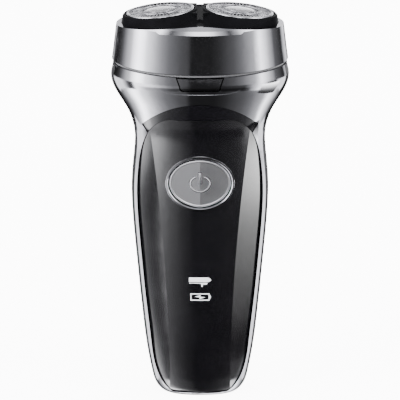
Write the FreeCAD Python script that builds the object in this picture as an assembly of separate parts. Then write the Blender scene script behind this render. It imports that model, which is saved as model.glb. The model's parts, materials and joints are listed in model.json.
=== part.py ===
import FreeCAD, Part
import math
import os

# Two-head rotary shaver, standing on its foot.  Millimetres.
# Origin: middle of the flat foot.  +Z up the handle, -Y is the front (button) side.

V = FreeCAD.Vector

# ---- overall sizes ----
HANDLE_HEIGHT = 121.0       # foot to the parting line, at the front middle
HEAD_WIDTH = 64.0
HEAD_FRONT = 23.3           # depth of the head in front of the origin plane
HEAD_BACK = 22.0
GRIP_WIDTH = 49.4
GRIP_FRONT = 17.2
GRIP_BACK = 18.4
WAIST_WIDTH = 47.0
WAIST_FRONT = 17.3
WAIST_BACK = 16.8
FOOT_WIDTH = 26.4
FOOT_FRONT = 10.5
FOOT_BACK = 10.5
HEAD_HEIGHT = 17.9          # parting line to the top of the plated band, in the middle
BAND_TOP_WIDTH = 59.6
BAND_TAPER_DEPTH = 2.0      # how far the band leans in at front and back

# ---- walls and fits ----
WALL = 1.8
SEAM = 0.15                 # shadow gap between fixed covers
RUN_GAP = 0.35              # clearance round moving buttons
SPLIT_Y = -6.5              # plane between the front mouldings and the back shell
PARTING_RISE = 1.5          # how much higher the parting line is at the sides
RAIL_WIDTH = 2.1            # plated rail seen beside the front panel
SEAL_HEIGHT = 0.55
SEAL_INSET = 0.45
PARTING_GAP = 0.4

# ---- front panel ----
PANEL_LOW = 1.4
PANEL_TOP = 0.862 * HANDLE_HEIGHT
PANEL_SHOULDER = PANEL_TOP - 5.4
PANEL_SHOULDER_X = 18.4
CREASE_FOOT = 10.9
CREASE_TOP = 17.8
FACET_BULGE = 0.25
BROW_TOP = PANEL_TOP + 6.3
BROW_END_X = 20.8
BROW_END_Z = PANEL_TOP - 3.0

# ---- power button ----
BUTTON_Z = 0.667 * HANDLE_HEIGHT
BEZEL_WIDTH = 24.8
BEZEL_HEIGHT = 20.0
BEZEL_RING = 1.25
BEZEL_PROUD = 0.45
BUTTON_PROUD = 0.3
BUTTON_DEPTH = 2.6
BUTTON_TRAVEL = 0.8
SYMBOL_WIDTH = 7.6
SYMBOL_LINE = 0.75
SYMBOL_PROUD = 0.15
ICON_WIDTH = 8.0
ICON_HEIGHT = 2.8
ICON_Z = (44.4, 38.4)

# ---- release button ----
RELEASE_TOP_X = 8.9
RELEASE_LOW_X = 6.5
RELEASE_HEIGHT = 4.6
RELEASE_DEPTH = 3.2
RELEASE_TRAVEL = 1.2

# ---- drive ----
MODULE = 0.5
PINION_TEETH = 10
GEAR_TEETH = 47
GEAR_THICK = 3.0
TOOTH_SHARE = 0.40          # tooth thickness at the pitch circle, as a share of the pitch
ADDENDUM = 0.42
DEDENDUM = 0.62
GEAR_SHAFT_R = 1.0
SHAFT_FIT = 0.05
SPINDLE_R = 1.9
SPINDLE_TIP = 2.2
DECK_Z = HANDLE_HEIGHT - 5.5
DECK_THICK = 2.0
DECK_HOLE_R = 3.2
MOTOR_R = 10.2
MOTOR_DEPTH = 15.4
MOTOR_LENGTH = 25.0
MOTOR_SHAFT_R = 0.75

# ---- cutters ----
HEAD_TILT = 5.6             # each cutter leans outward by this angle
CUTTER_R = 12.15
CUTTER_TOP = HANDLE_HEIGHT + 19.8
CUTTER_HEIGHT = 4.6
CAP_WALL = 0.45
CAP_TRIM_R = CUTTER_R - 7.5
SLOT_COUNT = 60
SLOT_WIDTH = 0.35
SLOT_RIM = 0.85             # solid rim outside the slots
SLOT_BAND = 3.4
SLOT_OUTER_R = CUTTER_R - SLOT_RIM
SLOT_INNER_R = SLOT_OUTER_R - SLOT_BAND
FLOAT_TRAVEL = 1.0
WELL_GAP = 0.35
BLADE_COUNT = 9

# ---- battery, board, socket ----
CELL_R = 7.1
CELL_LENGTH = 50.0
CELL_Z = 22.0
CELL_Y = 5.5
BOARD_WIDTH = 30.0
BOARD_THICK = 1.2
BOARD_Y = -9.4
BOARD_Z = (16.0, BUTTON_Z + 9.3)
SOCKET_WIDTH = 9.0
SOCKET_DEPTH = 5.4
SOCKET_LENGTH = 9.5
SOCKET_WALL = 1.2
SOCKET_Y = 4.7
PIN_R = 0.6
PIN_SPACING = 4.4
PIN_LENGTH = 4.2

# ---- head hinge ----
HINGE_R = 1.7
HINGE_PIN_R = 0.8
HINGE_Z = HANDLE_HEIGHT + 0.6
HINGE_Y = HEAD_BACK + 2.0
KNUCKLE_MIDDLE = 10.0
KNUCKLE_OUTER = 6.0
KNUCKLE_GAP = 0.3

SPINDLE_X = MODULE * (PINION_TEETH + GEAR_TEETH) / 2
FAR = 60.0                  # larger than any section, for cutting tools
TALL = 2 * HANDLE_HEIGHT    # above everything, for cutting tools


def mix(low, high, share):
    return low + (high - low) * share


# ---------------------------------------------------------------- outer skin

FOOT = (FOOT_WIDTH / 2, FOOT_FRONT, FOOT_BACK, 2.4)
GRIP = (GRIP_WIDTH / 2, GRIP_FRONT, GRIP_BACK, 2.4)
WAIST = (WAIST_WIDTH / 2, WAIST_FRONT, WAIST_BACK, 2.4)
HEAD = (HEAD_WIDTH / 2, HEAD_FRONT, HEAD_BACK, 2.1)

# share of the handle height, section below, section above, blend between them
RISE = [
    (0.000, FOOT, GRIP, 0.00), (0.006, FOOT, GRIP, 0.12), (0.021, FOOT, GRIP, 0.25),
    (0.054, FOOT, GRIP, 0.37), (0.116, FOOT, GRIP, 0.50), (0.231, FOOT, GRIP, 0.66),
    (0.397, FOOT, GRIP, 0.835), (0.545, FOOT, GRIP, 0.97), (0.640, FOOT, GRIP, 1.00),
    (0.735, GRIP, WAIST, 0.75), (0.790, WAIST, HEAD, 0.00), (0.835, WAIST, HEAD, 0.115),
    (0.876, WAIST, HEAD, 0.365), (0.917, WAIST, HEAD, 0.73), (0.947, WAIST, HEAD, 0.94),
    (0.975, WAIST, HEAD, 1.00), (1.030, WAIST, HEAD, 1.00),
]


def stations():
    """Height, half width, front depth, back depth and squareness up the handle."""
    rows = []
    for share, below, above, blend in RISE:
        swell = math.sqrt(blend) if below is FOOT else blend
        half = mix(below[0], above[0], blend)
        rows.append((share * HANDLE_HEIGHT, half, mix(below[1], above[1], swell),
                     mix(below[2], above[2], swell), mix(below[3], above[3], blend)))
    return rows


def skin_at(z):
    """Section of the handle at one height."""
    rows = stations()
    for low, high in zip(rows, rows[1:]):
        if z <= high[0]:
            share = (z - low[0]) / (high[0] - low[0])
            return tuple(mix(a, b, share) for a, b in zip(low[1:], high[1:]))
    return rows[-1][1:]


def rim(z, half, front, back, power, count=32):
    """Closed rounded section at one height."""
    points = []
    for i in range(count):
        turn = 2 * math.pi * i / count
        c, s = math.cos(turn), math.sin(turn)
        depth = back if s > 0 else front
        radius = (abs(c / half) ** power + abs(s / depth) ** power) ** (-1 / power)
        points.append(V(radius * c, radius * s, z))
    curve = Part.BSplineCurve()
    steps = [float(i) for i in range(count + 1)]
    curve.interpolate(Points=points, PeriodicFlag=True, Parameters=steps)
    return Part.Wire([curve.toShape()])


def handle_solid(inset=0.0):
    """Whole outer form of the handle, drawn in by inset."""
    wires = []
    for z, half, front, back, power in stations():
        wires.append(rim(z, half - inset, front - inset, back - inset, power))
    return Part.makeLoft(wires, True, False)


def band_solid(inset=0.0):
    """Whole outer form of the head, from below the parting line to above its top."""
    wires = []
    for share in (-0.25, 0.0, 0.28, 0.56, 0.89, 1.3):
        z = HANDLE_HEIGHT + share * HEAD_HEIGHT
        lean = share if share < 0.3 else 0.3 + (share - 0.3) * 1.02
        half = mix(HEAD_WIDTH, BAND_TOP_WIDTH, max(lean, 0.0)) / 2 - 0.1
        drop = BAND_TAPER_DEPTH * max(lean, 0.0)
        wires.append(rim(z, half - inset, HEAD_FRONT - drop - inset,
                         HEAD_BACK - drop - inset, 2.1))
    return Part.makeLoft(wires, True, False)


def extrude_y(wire, low=-FAR, high=FAR):
    """Solid from a closed outline in the XZ plane, between two depths."""
    face = Part.Face(wire)
    face.translate(V(0, low, 0))
    return face.extrude(V(0, high - low, 0))


def below_arc(height, rise=None):
    """Everything below an upward-curving line across the width."""
    lift = PARTING_RISE if rise is None else rise
    edge = lift * (FAR / (HEAD_WIDTH / 2)) ** 2
    left = V(-FAR, 0, height + edge)
    right = V(FAR, 0, height + edge)
    arc = Part.Arc(left, V(0, 0, height), right).toShape()
    sides = Part.makePolygon([right, V(FAR, 0, -FAR), V(-FAR, 0, -FAR), left])
    return extrude_y(Part.Wire([arc] + sides.Edges))


def box(x0, x1, y0, y1, z0, z1):
    return Part.makeBox(x1 - x0, y1 - y0, z1 - z0, V(x0, y0, z0))


def mirrored(shape):
    return shape.mirror(V(0, 0, 0), V(1, 0, 0))


def spline(points):
    curve = Part.BSplineCurve()
    curve.interpolate(points)
    return curve.toShape()


# ---------------------------------------------------------------- front mouldings

def panel_outline(grow=0.0):
    """Outline of the opening for the front panel, grown outward by grow."""
    side = [V(FOOT_WIDTH / 2 - 3.4 + grow, 0, PANEL_LOW - grow)]
    side.append(V(skin_at(5.0)[0] - RAIL_WIDTH - 1.2 + grow, 0, 5.0))
    for share in (0.1, 0.2, 0.36, 0.53, 0.67, 0.78, 0.88):
        z = mix(PANEL_LOW, PANEL_SHOULDER, share)
        side.append(V(skin_at(z)[0] - RAIL_WIDTH + grow, 0, z))
    side.append(V(PANEL_SHOULDER_X + 1.6 + grow, 0, PANEL_SHOULDER - 3.4))
    side.append(V(PANEL_SHOULDER_X + grow, 0, PANEL_SHOULDER))
    side.append(V(PANEL_SHOULDER_X - 3.6 + grow * 0.7, 0, PANEL_TOP - 1.6 + grow * 0.7))
    side.append(V(PANEL_SHOULDER_X * 0.4, 0, PANEL_TOP - 0.25 + grow))
    right = spline(side)
    left = mirrored(right)
    floor = Part.makeLine(V(-side[0].x, 0, side[0].z), side[0])
    top = Part.Arc(side[-1], V(0, 0, PANEL_TOP + grow), V(-side[-1].x, 0, side[-1].z)).toShape()
    return Part.Wire(Part.__sortEdges__([floor, right, top, left]))


def brow_outline(grow=0.0):
    """Outline of the dark arch above the panel."""
    end = V(BROW_END_X + grow, 0, BROW_END_Z)
    foot = V(PANEL_SHOULDER_X + 0.3 + grow, 0, PANEL_SHOULDER - 0.6)
    arch = Part.Arc(V(-end.x, 0, end.z), V(0, 0, BROW_TOP + grow), end).toShape()
    line = Part.makePolygon([end, foot, V(-foot.x, 0, foot.z), V(-end.x, 0, end.z)])
    return Part.Wire([arch] + line.Edges)


def panel_section(z, offset):
    """Panel section: a gently curved centre face and a facet on each side."""
    half, front, _, power = skin_at(z)
    edge_x = half - 0.9
    crease_x = CREASE_FOOT + (CREASE_TOP - CREASE_FOOT) * (z / PANEL_SHOULDER) ** 2

    def depth(x):
        return -front * (1 - (x / half) ** power) ** (1 / power) - offset

    edge = V(edge_x, depth(edge_x), z)
    crease = V(crease_x, depth(crease_x), z)
    edge_left = V(-edge.x, edge.y, z)
    crease_left = V(-crease.x, crease.y, z)
    across = (edge - crease).normalize()
    bulge = V(across.y, -across.x, 0) * FACET_BULGE
    middle = (edge + crease) * 0.5 + bulge
    middle_left = V(-middle.x, middle.y, z)
    arcs = [
        Part.Arc(edge_left, middle_left, crease_left).toShape(),
        Part.Arc(crease_left, V(0, -front - offset, z), crease).toShape(),
        Part.Arc(crease, middle, edge).toShape(),
    ]
    rear = Part.makePolygon([edge, V(edge.x, 0, z), V(-edge.x, 0, z), edge_left])
    return Part.Wire(arcs + rear.Edges)


def panel_solid(offset=0.0):
    shares = (0.0, 0.033, 0.077, 0.19, 0.38, 0.57, 0.72, 0.84, 0.93, 1.03)
    heights = [share * PANEL_TOP for share in shares]
    return Part.makeLoft([panel_section(z, offset) for z in heights], True, False)


def oval(width, height, low, high):
    """Upright oval prism round the power button's axis."""
    ellipse = Part.Ellipse(V(0, 0, 0), width / 2, height / 2).toShape()
    face = Part.Face(Part.Wire([ellipse]))
    face.rotate(V(0, 0, 0), V(1, 0, 0), 90)
    face.translate(V(0, low, BUTTON_Z))
    return face.extrude(V(0, high - low, 0))


def release_outline(grow=0.0):
    """Trapezium of the release button, hanging from the parting line."""
    top = HANDLE_HEIGHT + 1.0
    low = HANDLE_HEIGHT - PARTING_GAP - RELEASE_HEIGHT - grow
    top_x = RELEASE_TOP_X + grow
    low_x = RELEASE_LOW_X + grow
    knee = V(mix(low_x, top_x, 0.3), 0, low + 1.4)
    soft = V(low_x + 0.35, 0, low + 0.35)
    toe = V(low_x - 1.2, 0, low)
    right = [Part.Arc(toe, soft, knee).toShape(), Part.makeLine(knee, V(top_x, 0, top))]
    left = [mirrored(edge) for edge in right]
    ends = [Part.makeLine(V(-toe.x, 0, low), toe),
            Part.makeLine(V(top_x, 0, top), V(-top_x, 0, top))]
    return Part.Wire(Part.__sortEdges__(right + left + ends))


def handle_shell():
    """Hollow handle, open at the parting line."""
    core = handle_solid(WALL).common(box(-FAR, FAR, -FAR, FAR, WALL, TALL))
    hollow = handle_solid().cut(core).common(box(-FAR, FAR, -FAR, FAR, 0, TALL))
    return hollow.common(below_arc(HANDLE_HEIGHT - PARTING_GAP))


def chrome_frame(shell):
    """Plated collar and side rails in one moulding."""
    front = shell.common(box(-FAR, FAR, -FAR, SPLIT_Y - SEAM / 2, -1, TALL))
    for tool in (extrude_y(panel_outline(SEAM / 2)), extrude_y(brow_outline(SEAM / 2)),
                 extrude_y(release_outline(RUN_GAP / 2))):
        front = front.cut(tool)
    return front


def front_panel():
    body = panel_solid().cut(panel_solid(-WALL))
    body = body.common(extrude_y(panel_outline(-SEAM / 2), -FAR, SPLIT_Y - SEAM))
    body = body.cut(oval(BEZEL_WIDTH, BEZEL_HEIGHT, -FAR, 0))
    for low, high, width in icon_windows():
        body = body.cut(box(-width / 2, width / 2, -FAR, 0, low, high))
    return body


def brow_panel():
    body = handle_solid(0.35).cut(handle_solid(0.35 + WALL))
    body = body.common(extrude_y(brow_outline(-SEAM / 2), -FAR, SPLIT_Y - SEAM))
    return body.cut(extrude_y(panel_outline(SEAM / 2)))


def icon_windows():
    return [(z - ICON_HEIGHT / 2, z + ICON_HEIGHT / 2, ICON_WIDTH) for z in ICON_Z]


def icon_lens(index):
    """Clear lens that fills one symbol window."""
    low, high, width = icon_windows()[index]
    body = panel_solid().cut(panel_solid(-WALL))
    return body.common(box(-width / 2, width / 2, -FAR, 0, low, high))


def button_bezel():
    body = panel_solid(BEZEL_PROUD).cut(panel_solid(-WALL))
    ring = oval(BEZEL_WIDTH, BEZEL_HEIGHT, -FAR, 0)
    hole = oval(BEZEL_WIDTH - 2 * BEZEL_RING, BEZEL_HEIGHT - 2 * BEZEL_RING, -FAR, 0)
    return body.common(ring.cut(hole))


def button_size():
    shrink = 2 * (BEZEL_RING + RUN_GAP / 2)
    return BEZEL_WIDTH - shrink, BEZEL_HEIGHT - shrink


def symbol_prism():
    """Ring with a gap at the top and an upright bar."""
    width = SYMBOL_WIDTH
    height = width * BEZEL_HEIGHT / BEZEL_WIDTH
    ring = oval(width, height, -FAR, 0)
    ring = ring.cut(oval(width - 2 * SYMBOL_LINE, height - 2 * SYMBOL_LINE, -FAR, 0))
    gap = SYMBOL_LINE * 1.7
    ring = ring.cut(box(-gap, gap, -FAR, 0, BUTTON_Z, BUTTON_Z + height))
    bar_half = SYMBOL_LINE * 0.6
    bar = box(-bar_half, bar_half, -FAR, 0, BUTTON_Z - 0.3, BUTTON_Z + height / 2 + 0.9)
    return ring.fuse(bar)


def power_button():
    width, height = button_size()
    body = panel_solid(BUTTON_PROUD).cut(panel_solid(BUTTON_PROUD - BUTTON_DEPTH))
    body = body.common(oval(width, height, -FAR, 0))
    inlay = panel_solid(BUTTON_PROUD + 1).cut(panel_solid(BUTTON_PROUD - 0.5))
    return body.cut(inlay.common(symbol_prism()))


def power_symbol():
    body = panel_solid(BUTTON_PROUD + SYMBOL_PROUD).cut(panel_solid(BUTTON_PROUD - 0.5))
    return body.common(symbol_prism())


RELEASE_REAR = -HEAD_FRONT + 0.2 + RELEASE_DEPTH
SPRING_Y = RELEASE_REAR + RELEASE_TRAVEL + 0.3
SPRING_THICK = 0.4


def release_button():
    """Tab that follows the collar and is pressed inward to free the head."""
    body = handle_solid(0.2).cut(handle_solid(0.2 + RELEASE_DEPTH))
    body = body.common(extrude_y(release_outline(-RUN_GAP / 2), -FAR, RELEASE_REAR))
    return body.common(below_arc(HANDLE_HEIGHT - PARTING_GAP - RUN_GAP))


# ---------------------------------------------------------------- back of the handle

def grip_outline(grow=0.0):
    """Tall rounded outline of the rubber pad on the back."""
    low, high = 16.0, 0.82 * HANDLE_HEIGHT
    half_low = FOOT_WIDTH / 2 - 2.0 + grow
    half_high = WAIST_WIDTH / 2 - 8.0 + grow
    half_mid = GRIP_WIDTH / 2 - 7.5 + grow
    mid = mix(low, high, 0.55)
    side = spline([V(half_low, 0, low), V(half_mid, 0, mid), V(half_high, 0, high)])
    foot = Part.Arc(V(-half_low, 0, low), V(0, 0, low - 4 - grow), V(half_low, 0, low)).toShape()
    top = Part.Arc(V(half_high, 0, high), V(0, 0, high + 4 + grow), V(-half_high, 0, high)).toShape()
    return Part.Wire(Part.__sortEdges__([foot, side, top, mirrored(side)]))


def knuckle(x0, x1):
    """Hinge barrel with a web down to the casing."""
    barrel = Part.makeCylinder(HINGE_R, x1 - x0, V(x0, HINGE_Y, HINGE_Z), V(1, 0, 0))
    bore = Part.makeCylinder(HINGE_PIN_R + SHAFT_FIT, x1 - x0, V(x0, HINGE_Y, HINGE_Z), V(1, 0, 0))
    return barrel, bore


def knuckle_spans():
    inner = KNUCKLE_MIDDLE / 2 + KNUCKLE_GAP
    return [(-inner - KNUCKLE_OUTER, -inner), (inner, inner + KNUCKLE_OUTER)]


def back_shell(shell):
    """Rear casing with the socket mouth, the pad's recess and the outer hinge barrels."""
    body = shell.common(box(-FAR, FAR, SPLIT_Y + SEAM / 2, FAR, -1, TALL))
    recess = handle_solid(-2).cut(handle_solid(0.7))
    body = body.cut(recess.common(extrude_y(grip_outline(), 0, FAR)))
    mouth_x = SOCKET_WIDTH / 2 + SOCKET_WALL
    mouth_y = SOCKET_DEPTH / 2 + SOCKET_WALL
    body = body.cut(box(-mouth_x, mouth_x, SOCKET_Y - mouth_y, SOCKET_Y + mouth_y, -1, WALL + 1))
    for x0, x1 in knuckle_spans():
        barrel, bore = knuckle(x0, x1)
        web = box(x0, x1, HEAD_BACK - 0.6, HINGE_Y + HINGE_R, HINGE_Z - 6, HINGE_Z)
        slope = Part.makePolygon([V(x0, HEAD_BACK - 1, HINGE_Z - 7), V(x0, HINGE_Y + 3, HINGE_Z - 7),
                                  V(x0, HINGE_Y + 3, HINGE_Z - 1.5), V(x0, HEAD_BACK - 1, HINGE_Z - 7)])
        web = web.cut(Part.Face(slope).extrude(V(x1 - x0, 0, 0)))
        body = body.fuse(barrel.fuse(web)).cut(bore)
    return body


def grip_pad():
    body = handle_solid(-0.45).cut(handle_solid(0.6))
    return body.common(extrude_y(grip_outline(-0.1), 0, FAR))


def hinge_pin():
    reach = KNUCKLE_MIDDLE / 2 + KNUCKLE_GAP + KNUCKLE_OUTER
    return Part.makeCylinder(HINGE_PIN_R, 2 * reach, V(-reach, HINGE_Y, HINGE_Z), V(1, 0, 0))


def parting_seal():
    """Thin lip ring that shows between the handle and the head."""
    low = HANDLE_HEIGHT - PARTING_GAP
    lip = handle_solid(SEAL_INSET).cut(handle_solid(WALL + 0.1))
    lip = lip.common(below_arc(low + 0.3 + SEAL_HEIGHT)).cut(below_arc(low + 0.3))
    root = handle_solid(SEAL_INSET + 0.55).cut(handle_solid(WALL + 0.1))
    root = root.common(below_arc(low + 0.3 + SEAL_HEIGHT)).cut(below_arc(low + 0.05))
    return lip.fuse(root)


# ---------------------------------------------------------------- inside the handle

def gear_deck():
    """Sealed floor under the head, with an opening for each spindle."""
    plate = handle_solid(WALL + 0.05).common(box(-FAR, FAR, -FAR, FAR, DECK_Z, DECK_Z + DECK_THICK))
    notch = RELEASE_TOP_X + 1
    plate = plate.cut(box(-notch, notch, -FAR, SPRING_Y + SPRING_THICK, 0, TALL))
    for side in (-1, 1):
        plate = plate.cut(Part.makeCylinder(DECK_HOLE_R, FAR, V(side * SPINDLE_X, 0, DECK_Z - 10)))
    return plate


def spur_gear(teeth, x, z, thick, phase):
    """Straight-toothed gear with trapezium teeth."""
    pitch_r = MODULE * teeth / 2
    tip_r = pitch_r + ADDENDUM
    root_r = pitch_r - DEDENDUM
    half = TOOTH_SHARE * math.pi / teeth
    points = []
    for i in range(teeth):
        middle = phase + 2 * math.pi * i / teeth
        for radius, lean in ((root_r, -half * 1.5), (tip_r, -half * 0.55),
                             (tip_r, half * 0.55), (root_r, half * 1.5)):
            points.append(V(radius * math.cos(middle + lean), radius * math.sin(middle + lean), 0))
    points.append(points[0])
    gear = Part.Face(Part.makePolygon(points)).extrude(V(0, 0, thick))
    gear.translate(V(x, 0, z))
    return gear


GEAR_Z = DECK_Z - 1.0 - GEAR_THICK


def drive_gear(side):
    phase = 0.0 if side > 0 else math.pi
    gear = spur_gear(GEAR_TEETH, side * SPINDLE_X, GEAR_Z, GEAR_THICK, phase)
    lighten = Part.makeCylinder(MODULE * GEAR_TEETH / 2 - 2.4, GEAR_THICK,
                                V(side * SPINDLE_X, 0, GEAR_Z + GEAR_THICK * 0.55))
    lighten = lighten.cut(Part.makeCylinder(3.6, GEAR_THICK, V(side * SPINDLE_X, 0, GEAR_Z)))
    bore = Part.makeCylinder(SPINDLE_R, FAR, V(side * SPINDLE_X, 0, GEAR_Z - 5))
    return gear.cut(lighten).cut(bore)


SPINDLE_TOP = CUTTER_TOP - CUTTER_HEIGHT - 3.2
GEAR_PLATE_Z = GEAR_Z - 2.6


def spindle(side):
    """Shaft that carries the gear and ends in the square drive tip."""
    x = side * SPINDLE_X
    shaft = Part.makeCylinder(SPINDLE_R, SPINDLE_TOP - GEAR_Z, V(x, 0, GEAR_Z))
    half = SPINDLE_TIP / 2
    tip = box(x - half, x + half, -half, half, SPINDLE_TOP, SPINDLE_TOP + 3.0)
    collar = Part.makeCylinder(SPINDLE_R + 0.7, 1.2, V(x, 0, DECK_Z + DECK_THICK + 1.2))
    bore = Part.makeCylinder(GEAR_SHAFT_R + SHAFT_FIT, GEAR_THICK + 4.0, V(x, 0, GEAR_Z))
    return shaft.fuse(tip).fuse(collar).cut(bore)


def gear_plate():
    """Plate under the gears with the two posts that they turn on."""
    plate = handle_solid(WALL + 0.3).common(box(-FAR, FAR, -FAR, FAR, GEAR_PLATE_Z, GEAR_PLATE_Z + 1.6))
    plate = plate.cut(Part.makeCylinder(3.4, 4, V(0, 0, GEAR_PLATE_Z - 1)))
    plate = plate.cut(box(-RELEASE_TOP_X, RELEASE_TOP_X, -FAR, -GRIP_FRONT + 1.0, 0, TALL))
    for side in (-1, 1):
        boss = Part.makeCylinder(2.6, GEAR_Z - 0.3 - GEAR_PLATE_Z - 1.6, V(side * SPINDLE_X, 0, GEAR_PLATE_Z + 1.6))
        plate = plate.fuse(boss)
    return plate


def gear_posts():
    posts = []
    for side in (-1, 1):
        low = GEAR_Z - 0.3
        posts.append(Part.makeCylinder(GEAR_SHAFT_R, GEAR_THICK + 4.0, V(side * SPINDLE_X, 0, low)))
    return Part.makeCompound(posts)


MOTOR_Z = GEAR_PLATE_Z - MOTOR_LENGTH


def motor():
    """Flat-sided can motor with its front bearing boss."""
    can = Part.makeCylinder(MOTOR_R, MOTOR_LENGTH, V(0, 0, MOTOR_Z))
    flats = box(-FAR, FAR, -MOTOR_DEPTH / 2, MOTOR_DEPTH / 2, 0, TALL)
    can = can.common(flats)
    boss = Part.makeCylinder(3.0, 1.4, V(0, 0, GEAR_PLATE_Z))
    terminals = [box(x - 1, x + 1, -0.3, 0.3, MOTOR_Z - 3.0, MOTOR_Z) for x in (-5, 5)]
    body = can.fuse(boss).fuse(terminals[0]).fuse(terminals[1])
    return body.cut(Part.makeCylinder(MOTOR_SHAFT_R + SHAFT_FIT, 9.0, V(0, 0, GEAR_PLATE_Z - 6)))


def motor_shaft():
    return Part.makeCylinder(MOTOR_SHAFT_R, GEAR_Z + GEAR_THICK - GEAR_PLATE_Z + 5.0, V(0, 0, GEAR_PLATE_Z - 5.0))


def motor_pinion():
    pinion = spur_gear(PINION_TEETH, 0, GEAR_Z, GEAR_THICK, 0.0)
    return pinion.cut(Part.makeCylinder(MOTOR_SHAFT_R, GEAR_THICK, V(0, 0, GEAR_Z)))


def chassis():
    """Tray between the board and the cell, with rails out to the casing."""
    low, high = WALL + 0.4, MOTOR_Z - 4.0
    half = FOOT_WIDTH / 2 - 2.5
    tray_y = BOARD_Y + BOARD_THICK
    plate = box(-half, half, tray_y, tray_y + 2.0, low + 12, high)
    for z in (CELL_Z + 4, CELL_Z + CELL_LENGTH - 6):
        reach = skin_at(z)[0] - WALL - 0.3
        rib = box(-reach, reach, SPLIT_Y, CELL_Y - CELL_R * 0.2, z, z + 2.0)
        plate = plate.fuse(rib.common(handle_solid(WALL + 0.2)))
        plate = plate.fuse(box(-half, half, tray_y, SPLIT_Y + 1, z, z + 2.0))
    grasp = Part.makeCylinder(CELL_R + 0.15, CELL_LENGTH + 20, V(0, CELL_Y, CELL_Z - 10))
    plate = plate.cut(grasp)
    for z in (CELL_Z - 0.3, CELL_Z + CELL_LENGTH):
        plate = plate.cut(box(-2.2, 2.2, -FAR, FAR, z - 0.2, z + 0.5))
    return plate


def battery_cell():
    can = Part.makeCylinder(CELL_R, CELL_LENGTH - 1.2, V(0, CELL_Y, CELL_Z))
    nub = Part.makeCylinder(2.6, 1.2, V(0, CELL_Y, CELL_Z + CELL_LENGTH - 1.2))
    return can.fuse(nub)


def battery_tabs():
    """Welded strips that lead from each end of the cell to the board."""
    reach = BOARD_Y + BOARD_THICK
    top = box(-2, 2, reach, CELL_Y + 2, CELL_Z + CELL_LENGTH, CELL_Z + CELL_LENGTH + 0.3)
    low = box(-2, 2, reach, CELL_Y + 2, CELL_Z - 0.3, CELL_Z)
    return Part.makeCompound([top, low])


def circuit_board():
    board = box(-BOARD_WIDTH / 2, BOARD_WIDTH / 2, BOARD_Y, BOARD_Y + BOARD_THICK, *BOARD_Z)
    return board.common(handle_solid(WALL + 1.0))


SWITCH_FACE = -GRIP_FRONT + BUTTON_DEPTH - BUTTON_PROUD + BUTTON_TRAVEL + 0.4


def tact_switch():
    case = box(-3, 3, SWITCH_FACE + 1.5, BOARD_Y, BUTTON_Z - 3, BUTTON_Z + 3)
    plunger = Part.makeCylinder(1.7, 1.5, V(0, SWITCH_FACE, BUTTON_Z), V(0, 1, 0))
    return case.fuse(plunger)


def indicator_leds():
    leds = []
    for z in ICON_Z:
        leds.append(box(-1.6, 1.6, BOARD_Y - 0.9, BOARD_Y, z - 0.8, z + 0.8))
    return Part.makeCompound(leds)


def light_guide():
    """Block that carries the light from the board to the two symbols."""
    rear = BOARD_Y - 1.0
    blocks = []
    for z in ICON_Z:
        blocks.append(box(-ICON_WIDTH / 2 + 0.3, ICON_WIDTH / 2 - 0.3, -FAR, rear, z - 1.2, z + 1.2))
    return Part.makeCompound([block.common(panel_solid(-WALL - 0.05)) for block in blocks])


def charge_socket():
    """Two-pin charging inlet, open at the foot."""
    x, y = SOCKET_WIDTH / 2, SOCKET_DEPTH / 2
    wall = SOCKET_WALL - 0.1
    case = box(-x - wall, x + wall, SOCKET_Y - y - wall, SOCKET_Y + y + wall, 0.2, SOCKET_LENGTH + 1.5)
    return case.cut(box(-x, x, SOCKET_Y - y, SOCKET_Y + y, -1, SOCKET_LENGTH))


def socket_pins():
    pins = []
    for side in (-1, 1):
        base = V(side * PIN_SPACING / 2, SOCKET_Y, SOCKET_LENGTH - PIN_LENGTH)
        pins.append(Part.makeCylinder(PIN_R, PIN_LENGTH, base))
    return Part.makeCompound(pins)


def release_spring():
    """Leaf spring behind the release button."""
    return box(-4, 4, SPRING_Y, SPRING_Y + SPRING_THICK, DECK_Z, DECK_Z + DECK_THICK + 2)


# ---------------------------------------------------------------- head

def roof(height, lower=-FAR, soften=5.0):
    """Everything below a shallow roof that falls away to each side at the cutter tilt."""
    slope = math.tan(math.radians(HEAD_TILT))
    near = V(soften, 0, height - soften * slope)
    far = V(FAR, 0, height - FAR * slope)
    top = Part.Arc(V(-near.x, 0, near.z), V(0, 0, height - soften * slope / 2), near).toShape()
    sides = Part.makePolygon([near, far, V(FAR, 0, lower), V(-FAR, 0, lower),
                              V(-FAR, 0, far.z), V(-near.x, 0, near.z)])
    return extrude_y(Part.Wire([top] + sides.Edges))


def tilted(shape, side):
    """Moves a shape built on the Z axis, top at zero, to one cutter's place."""
    shape.rotate(V(0, 0, 0), V(0, 1, 0), side * HEAD_TILT)
    shape.translate(V(side * SPINDLE_X, 0, CUTTER_TOP))
    return shape


BAND_TOP = HANDLE_HEIGHT + HEAD_HEIGHT
BAND_LOW = HANDLE_HEIGHT + PARTING_GAP + 0.4
RETAINER_THICK = 1.6
SCOOP_HEIGHT = 3.4
HORN_GAP = 2.3
RETAINER_TOP = (CUTTER_TOP + SPINDLE_X * math.tan(math.radians(HEAD_TILT))
                - CUTTER_HEIGHT - FLOAT_TRAVEL - 1.0)
KNOB_STEM_R = 1.2
KNOB_Z = RETAINER_TOP - RETAINER_THICK - 0.8


def band_bevel():
    """Leaning form that trims the band's top edge, deepest at the front."""
    half = BAND_TOP_WIDTH / 2
    front = HEAD_FRONT - BAND_TAPER_DEPTH
    back = HEAD_BACK - BAND_TAPER_DEPTH
    low = rim(BAND_TOP - 18, half + 8.0, front + 9.6, back + 9.0, 2.1)
    high = rim(BAND_TOP + 4, half - 1.7, front - 3.6, back - 3.2, 2.1)
    return Part.makeLoft([low, high], True, True)


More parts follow.
